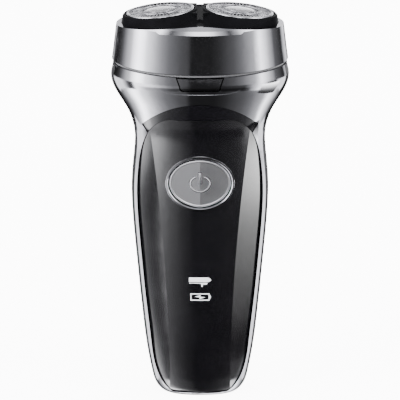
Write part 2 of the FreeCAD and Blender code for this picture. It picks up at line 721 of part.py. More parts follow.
def scoop_lean():
    """Form that the scoop's floor follows, leaning in towards the top."""
    wires = []
    for rise, lean in ((-SCOOP_HEIGHT, -0.02), (-SCOOP_HEIGHT * 0.45, 0.42), (0.6, WALL * 0.86)):
        share = (HEAD_HEIGHT + rise) / HEAD_HEIGHT
        drop = BAND_TAPER_DEPTH * share
        half = mix(HEAD_WIDTH, BAND_TOP_WIDTH, share) / 2
        wires.append(rim(BAND_TOP + rise, half - lean, HEAD_FRONT - drop - lean,
                         HEAD_BACK - drop - lean, 2.1))
    return Part.makeLoft(wires, True, False)


def scoop_outline():
    """Shallow scoop in the middle of the band's front top edge."""
    top = BAND_TOP + 0.5
    low = BAND_TOP - SCOOP_HEIGHT
    half = HEAD_WIDTH / 4
    right = spline([V(half - 2.6, 0, low), V(half - 0.9, 0, low + 0.7),
                    V(half + 0.6, 0, low + 2.2), V(half + 2.4, 0, top)])
    ends = [Part.makeLine(V(-half + 2.6, 0, low), V(half - 2.6, 0, low)),
            Part.makeLine(V(half + 2.4, 0, top), V(-half - 2.4, 0, top))]
    return Part.Wire(Part.__sortEdges__([right, mirrored(right)] + ends))


def head_band():
    """Plated ring round the head with the middle hinge barrel."""
    body = band_solid().common(band_bevel()).cut(band_solid(WALL))
    body = body.common(roof(BAND_TOP)).cut(below_arc(BAND_LOW))
    scoop = band_solid(-1).cut(scoop_lean()).common(extrude_y(scoop_outline(), -FAR, 0))
    body = body.cut(scoop)
    half = KNUCKLE_MIDDLE / 2
    barrel, bore = knuckle(-half, half)
    web = box(-half, half, HEAD_BACK - 1.6, HINGE_Y, HINGE_Z, HINGE_Z + HINGE_R)
    web = web.cut(band_solid(WALL))
    return body.fuse(barrel.fuse(web)).cut(bore)


def head_cover():
    """Black top with a well for each cutter and the pair of horns between them."""
    domes = []
    for side in (-1, 1):
        dome = Part.makeCone(CUTTER_R + 6.6, CUTTER_R + 2.6, 3.2, V(0, 0, -4.9))
        crown = Part.makeCone(CUTTER_R + 2.6, CUTTER_R + 1.1, 1.3, V(0, 0, -1.7))
        domes.append(tilted(dome.fuse(crown), side))
        for depth in (-1, 1):
            near, far = sorted((depth * 3.2, depth * 8.6))
            x0, x1 = sorted((side * HORN_GAP / 2, side * 4.4))
            domes.append(box(x0, x1, near, far, CUTTER_TOP - 4, CUTTER_TOP + 0.5))
    plate = roof(BAND_TOP - 0.2).cut(roof(BAND_TOP - 2.6))
    body = plate
    for dome in domes:
        body = body.fuse(dome)
    body = body.common(band_solid(WALL + 0.1))
    half = HORN_GAP / 2
    body = body.cut(box(-half, half, -FAR, FAR, CUTTER_TOP - 1.7, FAR * 3))
    for side in (-1, 1):
        well = Part.makeCylinder(CUTTER_R + WELL_GAP, 20, V(0, 0, -14))
        body = body.cut(tilted(well, side))
    return body


def cutter_cap(side):
    """Steel cup with radial slots; hair enters through them."""
    body = Part.makeCylinder(CUTTER_R, CUTTER_HEIGHT, V(0, 0, -CUTTER_HEIGHT))
    body = body.cut(Part.makeCylinder(CUTTER_R - CAP_WALL, CUTTER_HEIGHT, V(0, 0, -CUTTER_HEIGHT - CAP_WALL)))
    body = body.makeFillet(0.4, [edge for edge in body.Edges if edge.BoundBox.ZMin > -0.01])
    slots = []
    for i in range(SLOT_COUNT):
        slot = box(SLOT_INNER_R, SLOT_OUTER_R, -SLOT_WIDTH / 2, SLOT_WIDTH / 2, -1, 1)
        slot.rotate(V(0, 0, 0), V(0, 0, 1), 360 * i / SLOT_COUNT)
        slots.append(slot)
    body = body.cut(Part.makeCompound(slots))
    return tilted(body.cut(Part.makeCylinder(CAP_TRIM_R - 0.6, 3, V(0, 0, -1))), side)


def cap_trim(side):
    """Bright disc pressed into the middle of the cap."""
    disc = Part.makeCylinder(CAP_TRIM_R, 0.35, V(0, 0, 0))
    stem = Part.makeCylinder(CAP_TRIM_R - 0.6, CAP_WALL, V(0, 0, -CAP_WALL))
    return tilted(disc.fuse(stem), side)


def blade(side):
    """Inner cutter: a hub with a square socket and a ring of raised blades."""
    top = -CAP_WALL - 0.08
    hub = Part.makeCylinder(4.4, 3.6, V(0, 0, top - 1.6 - 3.6))
    disc = Part.makeCylinder(SLOT_OUTER_R - 0.2, 0.6, V(0, 0, top - 2.2))
    body = hub.fuse(disc)
    for i in range(BLADE_COUNT):
        vane = box(SLOT_INNER_R + 0.3, SLOT_OUTER_R - 0.3, -0.3, 0.3, top - 1.8, top)
        vane.rotate(V(0, 0, 0), V(0, 0, 1), 360 * i / BLADE_COUNT)
        body = body.fuse(vane)
    half = SPINDLE_TIP / 2 + 0.9
    socket = box(-half, half, -half, half, top - 6, top - 2.4)
    return tilted(body.cut(socket), side)


def cutter_retainer():
    """Frame under the cutters that keeps them in the cover."""
    slab = roof(RETAINER_TOP).cut(roof(RETAINER_TOP - RETAINER_THICK))
    frame = slab.common(band_solid(WALL + 0.3))
    for side in (-1, 1):
        clear = Part.makeCylinder(CUTTER_R - 2.4, 24, V(0, 0, -CUTTER_HEIGHT - 16))
        frame = frame.cut(tilted(clear, side))
    for corner in (-1, 1):
        frame = frame.cut(Part.makeCylinder(4.2, FAR, V(0, corner * 11.5, 100)))
    return frame.cut(Part.makeCylinder(KNOB_STEM_R + SHAFT_FIT, 60, V(0, 0, 100)))


def retainer_knob():
    """Quarter-turn lock under the retainer."""
    wheel = Part.makeCylinder(3.6, 1.6, V(0, 0, KNOB_Z - 1.6))
    wing = box(-0.6, 0.6, -3.2, 3.2, KNOB_Z - 3.2, KNOB_Z - 1.6)
    stem = Part.makeCylinder(KNOB_STEM_R, RETAINER_THICK + 1.0, V(0, 0, KNOB_Z))
    return wheel.fuse(wing).fuse(stem)


def case_screws():
    """Four self-tapping screws that hold the deck down."""
    screws = []
    for x, y in ((-24, -9), (24, -9), (-24, 9), (24, 9)):
        head = Part.makeCylinder(1.8, 1.0, V(x, y, DECK_Z + DECK_THICK))
        shank = Part.makeCylinder(0.9, 1.0, V(x, y, DECK_Z + DECK_THICK - 1.0))
        screws.append(head.fuse(shank))
    return Part.makeCompound(screws)


def with_screw_holes(deck):
    for x, y in ((-24, -9), (24, -9), (-24, 9), (24, 9)):
        deck = deck.cut(Part.makeCylinder(0.9, 1.0, V(x, y, DECK_Z + DECK_THICK - 1.0)))
    return deck


# ---------------------------------------------------------------- assembly

def build():
    shell = handle_shell()
    parts = {
        "chrome_frame": chrome_frame(shell),
        "front_panel": front_panel(),
        "brow_panel": brow_panel(),
        "back_shell": back_shell(shell),
        "grip_pad": grip_pad(),
        "charge_lens": icon_lens(0),
        "battery_lens": icon_lens(1),
        "button_bezel": button_bezel(),
        "power_button": power_button(),
        "power_symbol": power_symbol(),
        "release_button": release_button(),
        "release_spring": release_spring(),
        "parting_seal": parting_seal(),
        "hinge_pin": hinge_pin(),
        "gear_deck": with_screw_holes(gear_deck()),
        "deck_screws": case_screws(),
        "gear_plate": gear_plate(),
        "gear_posts": gear_posts(),
        "motor": motor(),
        "motor_shaft": motor_shaft(),
        "motor_pinion": motor_pinion(),
        "chassis": chassis(),
        "battery_cell": battery_cell(),
        "battery_tabs": battery_tabs(),
        "circuit_board": circuit_board(),
        "tact_switch": tact_switch(),
        "indicator_leds": indicator_leds(),
        "light_guide": light_guide(),
        "charge_socket": charge_socket(),
        "socket_pins": socket_pins(),
        "head_band": head_band(),
        "head_cover": head_cover(),
        "cutter_retainer": cutter_retainer(),
        "retainer_knob": retainer_knob(),
    }
    for name, side in (("left", -1), ("right", 1)):
        parts["drive_gear_" + name] = drive_gear(side)
        parts["spindle_" + name] = spindle(side)
        parts["cutter_cap_" + name] = cutter_cap(side)
        parts["cap_trim_" + name] = cap_trim(side)
        parts["blade_" + name] = blade(side)
    return parts


os.makedirs("parts", exist_ok=True)
for node, shape in build().items():
    box_of = shape.BoundBox
    print(f"{node:18s} solids {len(shape.Solids)} valid {shape.isValid()} volume {shape.Volume:9.1f}"
          f" x {box_of.XMin:6.1f} {box_of.XMax:6.1f} y {box_of.YMin:6.1f} {box_of.YMax:6.1f}"
          f" z {box_of.ZMin:6.1f} {box_of.ZMax:6.1f}")
    shape.exportStep(f"parts/{node}.step")
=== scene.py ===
"""Looks of the two-head rotary shaver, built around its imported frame.

Lengths are in metres and share the frame's axes: +Z runs up the handle and -Y is the front.
"""

import json
import logging
import math
from dataclasses import dataclass, field
from enum import Enum
from typing import Callable, Iterable

import bmesh
import bpy
from mathutils import Matrix, Vector
from mathutils.bvhtree import BVHTree

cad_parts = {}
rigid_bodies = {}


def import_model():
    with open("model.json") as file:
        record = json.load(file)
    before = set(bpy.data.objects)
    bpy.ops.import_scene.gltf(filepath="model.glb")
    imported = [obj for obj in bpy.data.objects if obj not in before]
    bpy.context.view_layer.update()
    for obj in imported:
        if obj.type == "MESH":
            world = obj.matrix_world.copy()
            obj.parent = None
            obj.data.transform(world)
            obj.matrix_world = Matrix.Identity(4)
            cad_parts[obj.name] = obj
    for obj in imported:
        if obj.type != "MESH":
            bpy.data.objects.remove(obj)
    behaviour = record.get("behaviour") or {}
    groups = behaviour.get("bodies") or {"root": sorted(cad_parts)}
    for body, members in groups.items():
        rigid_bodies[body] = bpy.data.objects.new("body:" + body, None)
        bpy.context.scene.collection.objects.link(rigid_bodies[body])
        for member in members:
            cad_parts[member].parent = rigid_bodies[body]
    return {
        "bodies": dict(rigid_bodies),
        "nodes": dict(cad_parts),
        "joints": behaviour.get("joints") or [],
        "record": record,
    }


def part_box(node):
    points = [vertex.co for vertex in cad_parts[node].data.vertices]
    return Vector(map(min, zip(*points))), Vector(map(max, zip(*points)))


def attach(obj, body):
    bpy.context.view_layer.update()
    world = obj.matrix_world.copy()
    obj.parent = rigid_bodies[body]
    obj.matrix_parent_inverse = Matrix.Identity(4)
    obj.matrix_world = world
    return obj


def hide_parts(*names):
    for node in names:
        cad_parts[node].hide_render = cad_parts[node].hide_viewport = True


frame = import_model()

LOG = logging.getLogger("shaver")
MM = 0.001
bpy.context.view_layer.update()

# Shared by the materials.
BUMP_HEIGHT = 0.1 * MM
COAT_ROUGHNESS = 0.03
SCRATCH_ROUGHNESS = 0.18
WHITE = (1.0, 1.0, 1.0, 1.0)

# Where a probe for the front surface starts, well in front of the shaver.
PROBE_START = -0.2

Colour = tuple[float, float, float]


class Side(Enum):
    """Which of the two cutters a piece belongs to."""

    LEFT = -1
    RIGHT = 1

    @property
    def word(self) -> str:
        """The side's name as the frame's nodes spell it."""
        return self.name.lower()


# ---------- shader helpers


def link(tree: bpy.types.NodeTree, source: bpy.types.NodeSocket, target: bpy.types.NodeSocket) -> None:
    """Joins two sockets.

    Args:
        tree: The node tree that holds both.
        source: The output socket.
        target: The input socket.
    """
    tree.links.new(source, target)


def add_node(tree: bpy.types.NodeTree, kind: str, **settings: object) -> bpy.types.Node:
    """Adds one node and sets its plain properties.

    Args:
        tree: The tree to add to.
        kind: The node's type name.
        **settings: Properties such as operation or noise_dimensions.

    Returns:
        The new node.
    """
    node = tree.nodes.new(kind)
    for name, value in settings.items():
        setattr(node, name, value)
    return node


def new_group(name: str, inputs: dict[str, float], outputs: dict[str, str]) -> bpy.types.NodeTree:
    """Starts a shader group with float inputs, a Vector input and named outputs.

    Args:
        name: The group's name.
        inputs: Float inputs and their default values.
        outputs: Output names and their socket types.

    Returns:
        The empty group, with its input and output nodes in place.
    """
    group = bpy.data.node_groups.new(name, "ShaderNodeTree")
    group.interface.new_socket("Vector", in_out="INPUT", socket_type="NodeSocketVector")
    for label, value in inputs.items():
        socket = group.interface.new_socket(label, in_out="INPUT", socket_type="NodeSocketFloat")
        socket.default_value = value
    for label, kind in outputs.items():
        group.interface.new_socket(label, in_out="OUTPUT", socket_type=kind)
    group.nodes.new("NodeGroupInput")
    group.nodes.new("NodeGroupOutput")
    return group


def ends(group: bpy.types.NodeTree) -> tuple[bpy.types.Node, bpy.types.Node]:
    """The input and output nodes of a group."""
    return group.nodes["Group Input"], group.nodes["Group Output"]


def feed(tree: bpy.types.NodeTree, node: bpy.types.Node, inputs: dict[str, object]) -> None:
    """Links or sets several inputs of a node.

    Args:
        tree: The tree that holds the node.
        node: The node.
        inputs: For each input's label, a socket to link or a value to set.
    """
    for label, value in inputs.items():
        if isinstance(value, bpy.types.NodeSocket):
            link(tree, value, node.inputs[label])
        else:
            node.inputs[label].default_value = value


def math_node(tree: bpy.types.NodeTree, kind: str, *values: "bpy.types.NodeSocket | float") -> bpy.types.NodeSocket:
    """Adds one math node.

    Args:
        tree: The tree to add to.
        kind: The operation.
        *values: Sockets to link or numbers to set, in input order.

    Returns:
        The result's socket.
    """
    node = add_node(tree, "ShaderNodeMath", operation=kind)
    for socket, value in zip(node.inputs, values):
        if isinstance(value, float):
            socket.default_value = value
        else:
            link(tree, value, socket)
    return node.outputs[0]


def span(tree: bpy.types.NodeTree, source: bpy.types.NodeSocket, low: float, high: float,
         **settings: object) -> bpy.types.NodeSocket:
    """Maps one range of values onto zero to one.

    Args:
        tree: The tree to add to.
        source: The value's socket.
        low: The value that becomes zero.
        high: The value that becomes one.
        **settings: Properties of the node, such as interpolation_type.

    Returns:
        The result's socket.
    """
    node = add_node(tree, "ShaderNodeMapRange", **settings)
    feed(tree, node, {"Value": source, "From Min": low, "From Max": high})
    return node.outputs["Result"]


def noise(tree: bpy.types.NodeTree, vector: bpy.types.NodeSocket, scale: bpy.types.NodeSocket,
          **values: float) -> bpy.types.NodeSocket:
    """Adds a noise texture.

    Args:
        tree: The tree to add to.
        vector: The coordinates it reads.
        scale: The socket that gives its scale.
        **values: Its other inputs, such as Detail.

    Returns:
        The noise value's socket.
    """
    node = add_node(tree, "ShaderNodeTexNoise")
    feed(tree, node, {"Vector": vector, "Scale": scale, **values})
    return node.outputs["Fac"]


def new_material(name: str) -> tuple[bpy.types.Material, bpy.types.NodeTree, bpy.types.Node]:
    """Starts a node material.

    Args:
        name: The material's name.

    Returns:
        The material, its node tree and its Principled shader.
    """
    material = bpy.data.materials.new(name)
    material.use_nodes = True
    return material, material.node_tree, material.node_tree.nodes["Principled BSDF"]


def handling_group() -> bpy.types.NodeTree:
    """Faint smears and cloudy patches that change how sharp a gloss surface mirrors.

    Returns:
        A group that turns a base roughness into one that varies over the surface.
    """
    group = new_group("handling_marks", {"Roughness": 0.1, "Amount": 0.05, "Scale": 60.0},
                      {"Roughness": "NodeSocketFloat", "Mask": "NodeSocketFloat"})
    start, end = ends(group)
    cloud = noise(group, start.outputs["Vector"], start.outputs["Scale"],
                  Detail=4.0, Roughness=0.62, Distortion=0.6)
    mask = span(group, cloud, 0.42, 0.72)
    rough = math_node(group, "MULTIPLY_ADD", mask, start.outputs["Amount"], start.outputs["Roughness"])
    link(group, rough, end.inputs["Roughness"])
    link(group, mask, end.inputs["Mask"])
    return group


def grain_group() -> bpy.types.NodeTree:
    """Fine moulded grain with a slower ripple under it, as a height.

    Returns:
        A group that puts out a height between about zero and one.
    """
    group = new_group("moulded_grain", {"Fine Scale": 4000.0, "Ripple Scale": 90.0, "Ripple Share": 0.4},
                      {"Height": "NodeSocketFloat"})
    start, end = ends(group)
    blend = add_node(group, "ShaderNodeMix", data_type="FLOAT")
    link(group, start.outputs["Ripple Share"], blend.inputs["Factor"])
    for label, detail, target in (("Fine Scale", 2.0, "A"), ("Ripple Scale", 1.0, "B")):
        value = noise(group, start.outputs["Vector"], start.outputs[label], Detail=detail)
        link(group, value, blend.inputs[target])
    link(group, blend.outputs["Result"], end.inputs["Height"])
    return group


def scratch_group() -> bpy.types.NodeTree:
    """Hairline scratches in two directions, from noise stretched along each.

    Returns:
        A group that puts out a mask of thin lines.
    """
    group = new_group("hairlines", {"Scale": 900.0, "Cover": 0.35}, {"Mask": "NodeSocketFloat"})
    start, end = ends(group)
    masks = []
    for turn, squash in ((0.5, (1.0, 1.0, 0.03)), (2.1, (0.04, 1.0, 1.0))):
        place = add_node(group, "ShaderNodeMapping")
        feed(group, place, {"Rotation": (turn * 0.3, turn, 0.0), "Scale": squash, "Vector": start.outputs["Vector"]})
        lines = noise(group, place.outputs["Vector"], start.outputs["Scale"], Detail=1.0)
        masks.append(span(group, lines, 0.66, 0.74))
    cover = math_node(group, "MULTIPLY", math_node(group, "MAXIMUM", *masks), start.outputs["Cover"])
    link(group, cover, end.inputs["Mask"])
    return group


@dataclass
class EffectShelf:
    """The shared shader groups, built once each."""

    groups: dict[str, bpy.types.NodeTree] = field(default_factory=dict)

    def get(self, maker: Callable[[], bpy.types.NodeTree]) -> bpy.types.NodeTree:
        """The group that maker builds, made on first use."""
        if maker.__name__ not in self.groups:
            self.groups[maker.__name__] = maker()
        return self.groups[maker.__name__]


SHELF = EffectShelf()


def use_group(tree: bpy.types.NodeTree, maker: Callable[[], bpy.types.NodeTree],
              vector: bpy.types.NodeSocket, **values: float) -> bpy.types.Node:
    """Places a shared group in a material.

    Args:
        tree: The material's tree.
        maker: The function that builds the group.
        vector: The coordinates it reads.
        **values: Input values, with spaces written as underscores.

    Returns:
        The group node.
    """
    node = tree.nodes.new("ShaderNodeGroup")
    node.node_tree = SHELF.get(maker)
    link(tree, vector, node.inputs["Vector"])
    for label, value in values.items():
        node.inputs[label.replace("_", " ")].default_value = value
    return node


@dataclass(frozen=True)
class Finish:
    """A moulded, plated or metal surface with marks, grain and hairlines.

    Attributes:
        name: The material's name.
        colour: Main colour.
        second: Colour in the cloudy patches.
        metallic: One for metal and plating, zero for plastic.
        roughness: Roughness where the surface is clean.
        marks: How much the cloudy patches add to the roughness.
        marks_scale: Frequency of the patches, per metre.
        grain: Bump strength of the fine grain.
        grain_scale: Frequency of the grain, per metre.
        ripple: Share of slow ripple in the bump.
        hairlines: How strongly hairline scratches show.
        coat: Clear lacquer weight.
        specular: Specular level of the base.
        ior: Index of refraction; higher ones mirror more.
    """

    name: str
    colour: Colour
    second: Colour
    metallic: float = 0.0
    roughness: float = 0.2
    marks: float = 0.06
    marks_scale: float = 70.0
    grain: float = 0.03
    grain_scale: float = 3500.0
    ripple: float = 0.3
    hairlines: float = 0.0
    coat: float = 0.0
    specular: float = 0.5
    ior: float = 1.5

    def build(self) -> bpy.types.Material:
        """Makes the material.

        Returns:
            A node material that reads Object coordinates.
        """
        material, tree, shader = new_material(self.name)
        coords = add_node(tree, "ShaderNodeTexCoord").outputs["Object"]
        marks = use_group(tree, handling_group, coords, Roughness=self.roughness,
                          Amount=self.marks, Scale=self.marks_scale)
        tint = add_node(tree, "ShaderNodeMix", data_type="RGBA")
        feed(tree, tint, {"Factor": marks.outputs["Mask"], "A": (*self.colour, 1.0), "B": (*self.second, 1.0)})
        rough = marks.outputs["Roughness"]
        height = use_group(tree, grain_group, coords, Fine_Scale=self.grain_scale,
                           Ripple_Share=self.ripple).outputs["Height"]
        if self.hairlines:
            lines = use_group(tree, scratch_group, coords, Cover=self.hairlines).outputs["Mask"]
            rough = math_node(tree, "MULTIPLY_ADD", lines, SCRATCH_ROUGHNESS, rough)
            height = math_node(tree, "SUBTRACT", height, lines)
        bump = add_node(tree, "ShaderNodeBump")
        feed(tree, bump, {"Strength": self.grain, "Distance": BUMP_HEIGHT, "Height": height})
        feed(tree, shader, {
            "Base Color": tint.outputs["Result"], "Roughness": rough, "Normal": bump.outputs["Normal"],
            "Metallic": self.metallic, "Coat Weight": self.coat, "Coat Roughness": COAT_ROUGHNESS,
            "Specular IOR Level": self.specular, "IOR": self.ior})
        return material


FINISHES: dict[str, Finish] = {
    finish.name: finish for finish in (
        Finish("plated_dark", (0.50, 0.50, 0.525), (0.44, 0.44, 0.465), metallic=1.0, roughness=0.085,
               marks=0.05, grain=0.015, hairlines=0.10),
        Finish("gloss_black", (0.0026, 0.0025, 0.0034), (0.0040, 0.0038, 0.0050), roughness=0.10, marks=0.05,
               grain=0.012, hairlines=0.08, coat=0.8),
        Finish("panel_black", (0.0026, 0.0025, 0.0034), (0.0040, 0.0038, 0.0050), roughness=0.13, marks=0.03,
               grain=0.012, hairlines=0.08, coat=0.8, ior=2.2),
        Finish("case_black", (0.008, 0.008, 0.009), (0.011, 0.011, 0.012), roughness=0.42, marks=0.08,
               grain=0.10, grain_scale=2600.0, specular=0.22),
        Finish("head_black", (0.004, 0.004, 0.0045), (0.006, 0.006, 0.007), roughness=0.30, marks=0.06,
               grain=0.06, grain_scale=3200.0, specular=0.002),
        Finish("rubber_black", (0.016, 0.016, 0.017), (0.024, 0.024, 0.025), roughness=0.62, marks=0.12,
               grain=0.30, grain_scale=3000.0),
        Finish("button_metal", (0.80, 0.80, 0.82), (0.74, 0.74, 0.76), metallic=1.0, roughness=0.34,
               marks=0.05, grain=0.05, grain_scale=5200.0, hairlines=0.12),
        Finish("bright_chrome", (0.82, 0.82, 0.84), (0.72, 0.72, 0.75), metallic=1.0, roughness=0.07,
               marks=0.05, grain=0.01, hairlines=0.08),
        Finish("cutter_steel", (0.62, 0.62, 0.64), (0.40, 0.40, 0.42), metallic=1.0, roughness=0.22,
               marks=0.12, marks_scale=420.0, grain=0.12, grain_scale=5200.0, hairlines=0.30),
        # Near-black steel for the inner blades: painted shade, so that the slots of the caps look dark.
        Finish("blade_steel", (0.03, 0.03, 0.032), (0.018, 0.018, 0.02), metallic=1.0, roughness=0.42,
               hairlines=0.3),
        Finish("disc_steel", (0.84, 0.84, 0.86), (0.66, 0.66, 0.68), metallic=1.0, roughness=0.2,
               marks=0.15, marks_scale=900.0, grain=0.35, grain_scale=2600.0),
        Finish("sign_bright", (0.94, 0.94, 0.95), (0.84, 0.84, 0.86), metallic=1.0, roughness=0.36),
        Finish("sign_shadow", (0.03, 0.03, 0.033), (0.045, 0.045, 0.048), roughness=0.5),
        Finish("spring_steel", (0.58, 0.58, 0.60), (0.46, 0.46, 0.48), metallic=1.0, roughness=0.3,
               hairlines=0.3),
        Finish("seal_grey", (0.11, 0.11, 0.115), (0.08, 0.08, 0.085), roughness=0.40, grain=0.08,
               specular=0.4),
        Finish("icon_white", (0.82, 0.83, 0.85), (0.72, 0.73, 0.76), roughness=0.25, marks=0.1),
        Finish("inner_plastic", (0.60, 0.61, 0.63), (0.52, 0.53, 0.55), roughness=0.42, grain=0.12),
        Finish("gear_plastic", (0.80, 0.80, 0.74), (0.72, 0.72, 0.66), roughness=0.38, grain=0.10),
        Finish("motor_can", (0.50, 0.50, 0.52), (0.40, 0.40, 0.42), metallic=1.0, roughness=0.34,
               hairlines=0.35),
        Finish("cell_wrap", (0.06, 0.24, 0.14), (0.05, 0.19, 0.11), roughness=0.22, coat=0.4),
        Finish("board_green", (0.02, 0.15, 0.07), (0.03, 0.11, 0.05), roughness=0.3, grain=0.1),
        Finish("light_pipe", (0.72, 0.76, 0.82), (0.64, 0.68, 0.74), roughness=0.12),
        Finish("led_white", (0.85, 0.85, 0.70), (0.75, 0.75, 0.62), roughness=0.25),
        Finish("brass_pin", (0.70, 0.52, 0.22), (0.58, 0.42, 0.18), metallic=1.0, roughness=0.22,
               hairlines=0.2),
    )
}

# Nodes that get a finish of their own instead of their slot's.
NODE_FINISHES: dict[str, str] = {
    "head_cover": "head_black",
    "front_panel": "panel_black",
    # The inner blades take the near-black steel: painted shade seen through the slots of the caps.
    "blade_left": "blade_steel",
    "blade_right": "blade_steel",
}


@dataclass
class PaintShop:
    """Makes each finish once and puts it on pieces and frame nodes."""

    made: dict[str, bpy.types.Material] = field(default_factory=dict)

    def material(self, name: str) -> bpy.types.Material:
        """The material of a named finish, built on first use."""
        if name not in self.made:
            self.made[name] = FINISHES[name].build()
        return self.made[name]

    def dress(self, piece: bpy.types.Object, name: str) -> None:
        """Puts one finish all over a piece.

        Args:
            piece: The object to dress.
            name: The finish's name.
        """
        piece.data.materials.clear()
        piece.data.materials.append(self.material(name))

    def dress_frame(self, loaded: dict) -> None:
        """Gives every node of the frame the finish of its material slot.

        Args:
            loaded: What the frame's load call returned.
        """
        for row in loaded["record"]["subparts"]:
            name = NODE_FINISHES.get(row["node"], row["material_slot"])
            self.dress(loaded["nodes"][row["node"]], name)
            LOG.info("dressed %s as %s", row["node"], name)


# ---------- making pieces


def linked_object(name: str, data: bpy.types.ID) -> bpy.types.Object:
    """Puts an object at the origin of the scene.

    Args:
        name: The object's name.
        data: Its mesh, light or camera.

    Returns:
        The new object.
    """
    made = bpy.data.objects.new(name, data)
    bpy.context.scene.collection.objects.link(made)
    return made


def finish_mesh(name: str, shape: bmesh.types.BMesh, sharp: float = 38.0) -> bpy.types.Object:
    """Turns a bmesh into a linked, smooth object at the origin.

    Args:
        name: The piece's name.
        shape: The bmesh, which is freed.
        sharp: Edges that turn by more than this many degrees are shaded as corners.

    Returns:
        The new object.
    """
    bmesh.ops.remove_doubles(shape, verts=shape.verts, dist=1e-7)
    bmesh.ops.recalc_face_normals(shape, faces=shape.faces)
    mesh = bpy.data.meshes.new(name)
    shape.to_mesh(mesh)
    shape.free()
    mesh.shade_smooth()
    mesh.set_sharp_from_angle(angle=math.radians(sharp))
    return linked_object(name, mesh)


def edges_of(verts: Iterable[bmesh.types.BMVert]) -> list[bmesh.types.BMEdge]:
    """Every edge that ends at one of the vertices."""
    return list(dict.fromkeys(edge for vert in verts for edge in vert.link_edges))


def swing(shape: bmesh.types.BMesh, verts: Iterable[bmesh.types.BMVert], axis: str,
          angle: float = math.pi / 2) -> None:
    """Turns vertices about an axis through the origin.

    Args:
        shape: The bmesh that holds them.
        verts: The vertices.
        axis: X, Y or Z.
        angle: Angle in radians.
    """
    bmesh.ops.rotate(shape, verts=verts, cent=(0, 0, 0), matrix=Matrix.Rotation(angle, 3, axis))


def close_edges(shape: bmesh.types.BMesh) -> None:
    """Caps every open edge loop of a bmesh."""
    rim = [edge for edge in shape.edges if edge.is_boundary]
    if rim:
        bmesh.ops.holes_fill(shape, edges=rim, sides=0)


def lathe(shape: bmesh.types.BMesh, profile: Iterable[tuple[float, float]], steps: int) -> None:
    """Spins a closed profile of (radius, height) points once round the Z axis.

    Args:
        shape: The bmesh that receives the ring.
        profile: The points in order, in metres, first and last joined.
        steps: Number of steps in the full turn.
    """
    verts = [shape.verts.new((radius, 0.0, height)) for radius, height in profile]
    edges = [shape.edges.new((a, b)) for a, b in zip(verts, verts[1:] + verts[:1])]
    bmesh.ops.spin(shape, geom=verts + edges, cent=(0, 0, 0), axis=(0, 0, 1),
                   angle=2 * math.pi, steps=steps, use_merge=True)


def block(shape: bmesh.types.BMesh, size: tuple[float, float, float], centre: Vector,
          soften: float) -> list[bmesh.types.BMVert]:
    """Adds a block with softened edges.

    Args:
        shape: The bmesh to add to.
        size: Lengths along X, Y and Z.
        centre: Its centre.
        soften: Edge bevel width.

    Returns:
        The new vertices.
    """
    made = bmesh.ops.create_cube(shape, size=1.0)["verts"]
    bmesh.ops.scale(shape, vec=size, verts=made)
    cut = bmesh.ops.bevel(shape, geom=edges_of(made), offset=soften, offset_type="OFFSET", segments=2,
                          profile=0.5, affect="EDGES", material=-1)
    kept = [vert for vert in made if vert.is_valid]
    made = list(dict.fromkeys([vert for face in cut["faces"] for vert in face.verts] + kept))
    bmesh.ops.translate(shape, verts=made, vec=centre)
    return made


def plate(shape: bmesh.types.BMesh, outline: list[tuple[float, float]], thick: float) -> None:
    """Adds a flat plate in the XZ plane, thick towards -Y.

    Args:
        shape: The bmesh to add to.
        outline: Corner points as (x, z).
        thick: Its thickness.
    """
    face = shape.faces.new([shape.verts.new((x, 0.0, z)) for x, z in outline])
    pushed = bmesh.ops.extrude_face_region(shape, geom=[face])["geom"]
    front = [part for part in pushed if isinstance(part, bmesh.types.BMVert)]
    bmesh.ops.translate(shape, vec=(0.0, -thick, 0.0), verts=front)


@dataclass
class Skin:
    """The outer front surface of one frame node, for seating thin pieces on it.

    Attributes:
        node: The node's name.
        tree: The search tree over its faces.
    """

    node: str
    tree: BVHTree = field(init=False)

    def __post_init__(self) -> None:
        """Builds the search tree."""
        mesh = frame["nodes"][self.node].data
        faces = [tuple(face.vertices) for face in mesh.polygons]
        self.tree = BVHTree.FromPolygons([vert.co.copy() for vert in mesh.vertices], faces)

    def depth(self, x: float, z: float, fallback: float) -> float:
        """Depth of the front surface behind one point of the front view.

        Args:
            x: Sideways place.
            z: Height.
            fallback: Depth to use where the node isn't there.

        Returns:
            The surface's Y.
        """
        hit = self.tree.ray_cast(Vector((x, PROBE_START, z)), Vector((0.0, 1.0, 0.0)))[0]
        return fallback if hit is None else hit.y


def wear(piece: bpy.types.Object, shop: PaintShop, finish: str, body: str,
         replaced: tuple[str, ...] = ()) -> None:
    """Dresses a finished piece and fixes it to its body.

    Args:
        piece: The piece.
        shop: Where its material comes from.
        finish: The finish's name.
        body: The body it rides on.
        replaced: Frame nodes that the piece stands for.
    """
    shop.dress(piece, finish)
    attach(piece, body)
    if replaced:
        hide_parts(*replaced)
    LOG.info("built %s in %s on %s", piece.name, finish, body)


# ---------- cutters


@dataclass(frozen=True)
class Track:
    """A ring of radial bars with open slots between them.

    Attributes:
        inner: Inner radius.
        outer: Outer radius.
        count: Number of bars.
        share: Bar width as a share of the pitch.
        drop: How far the bars' tops lie below the rim.
    """

    inner: float
    outer: float
    count: int
    share: float
    drop: float

    def build(self, shape: bmesh.types.BMesh, wall: float) -> None:
        """Adds the bars.

        Args:
            shape: The cap's bmesh.
            wall: Thickness of the cap's steel.
        """
        middle = (self.inner + self.outer) / 2
        width = 2 * math.pi * middle / self.count * self.share
        length = self.outer - self.inner + 0.3 * MM
        verts = block(shape, (length, width, wall * 0.8),
                      Vector((middle, 0.0, -wall * 0.5 - self.drop)), soften=0.05 * MM)
        faces = list(dict.fromkeys(face for vert in verts for face in vert.link_faces))
        edges = list(dict.fromkeys(edge for face in faces for edge in face.edges))
        bmesh.ops.spin(shape, geom=verts + edges + faces, cent=(0, 0, 0), axis=(0, 0, 1),
                       angle=2 * math.pi * (self.count - 1) / self.count, steps=self.count - 1,
                       use_duplicate=True)


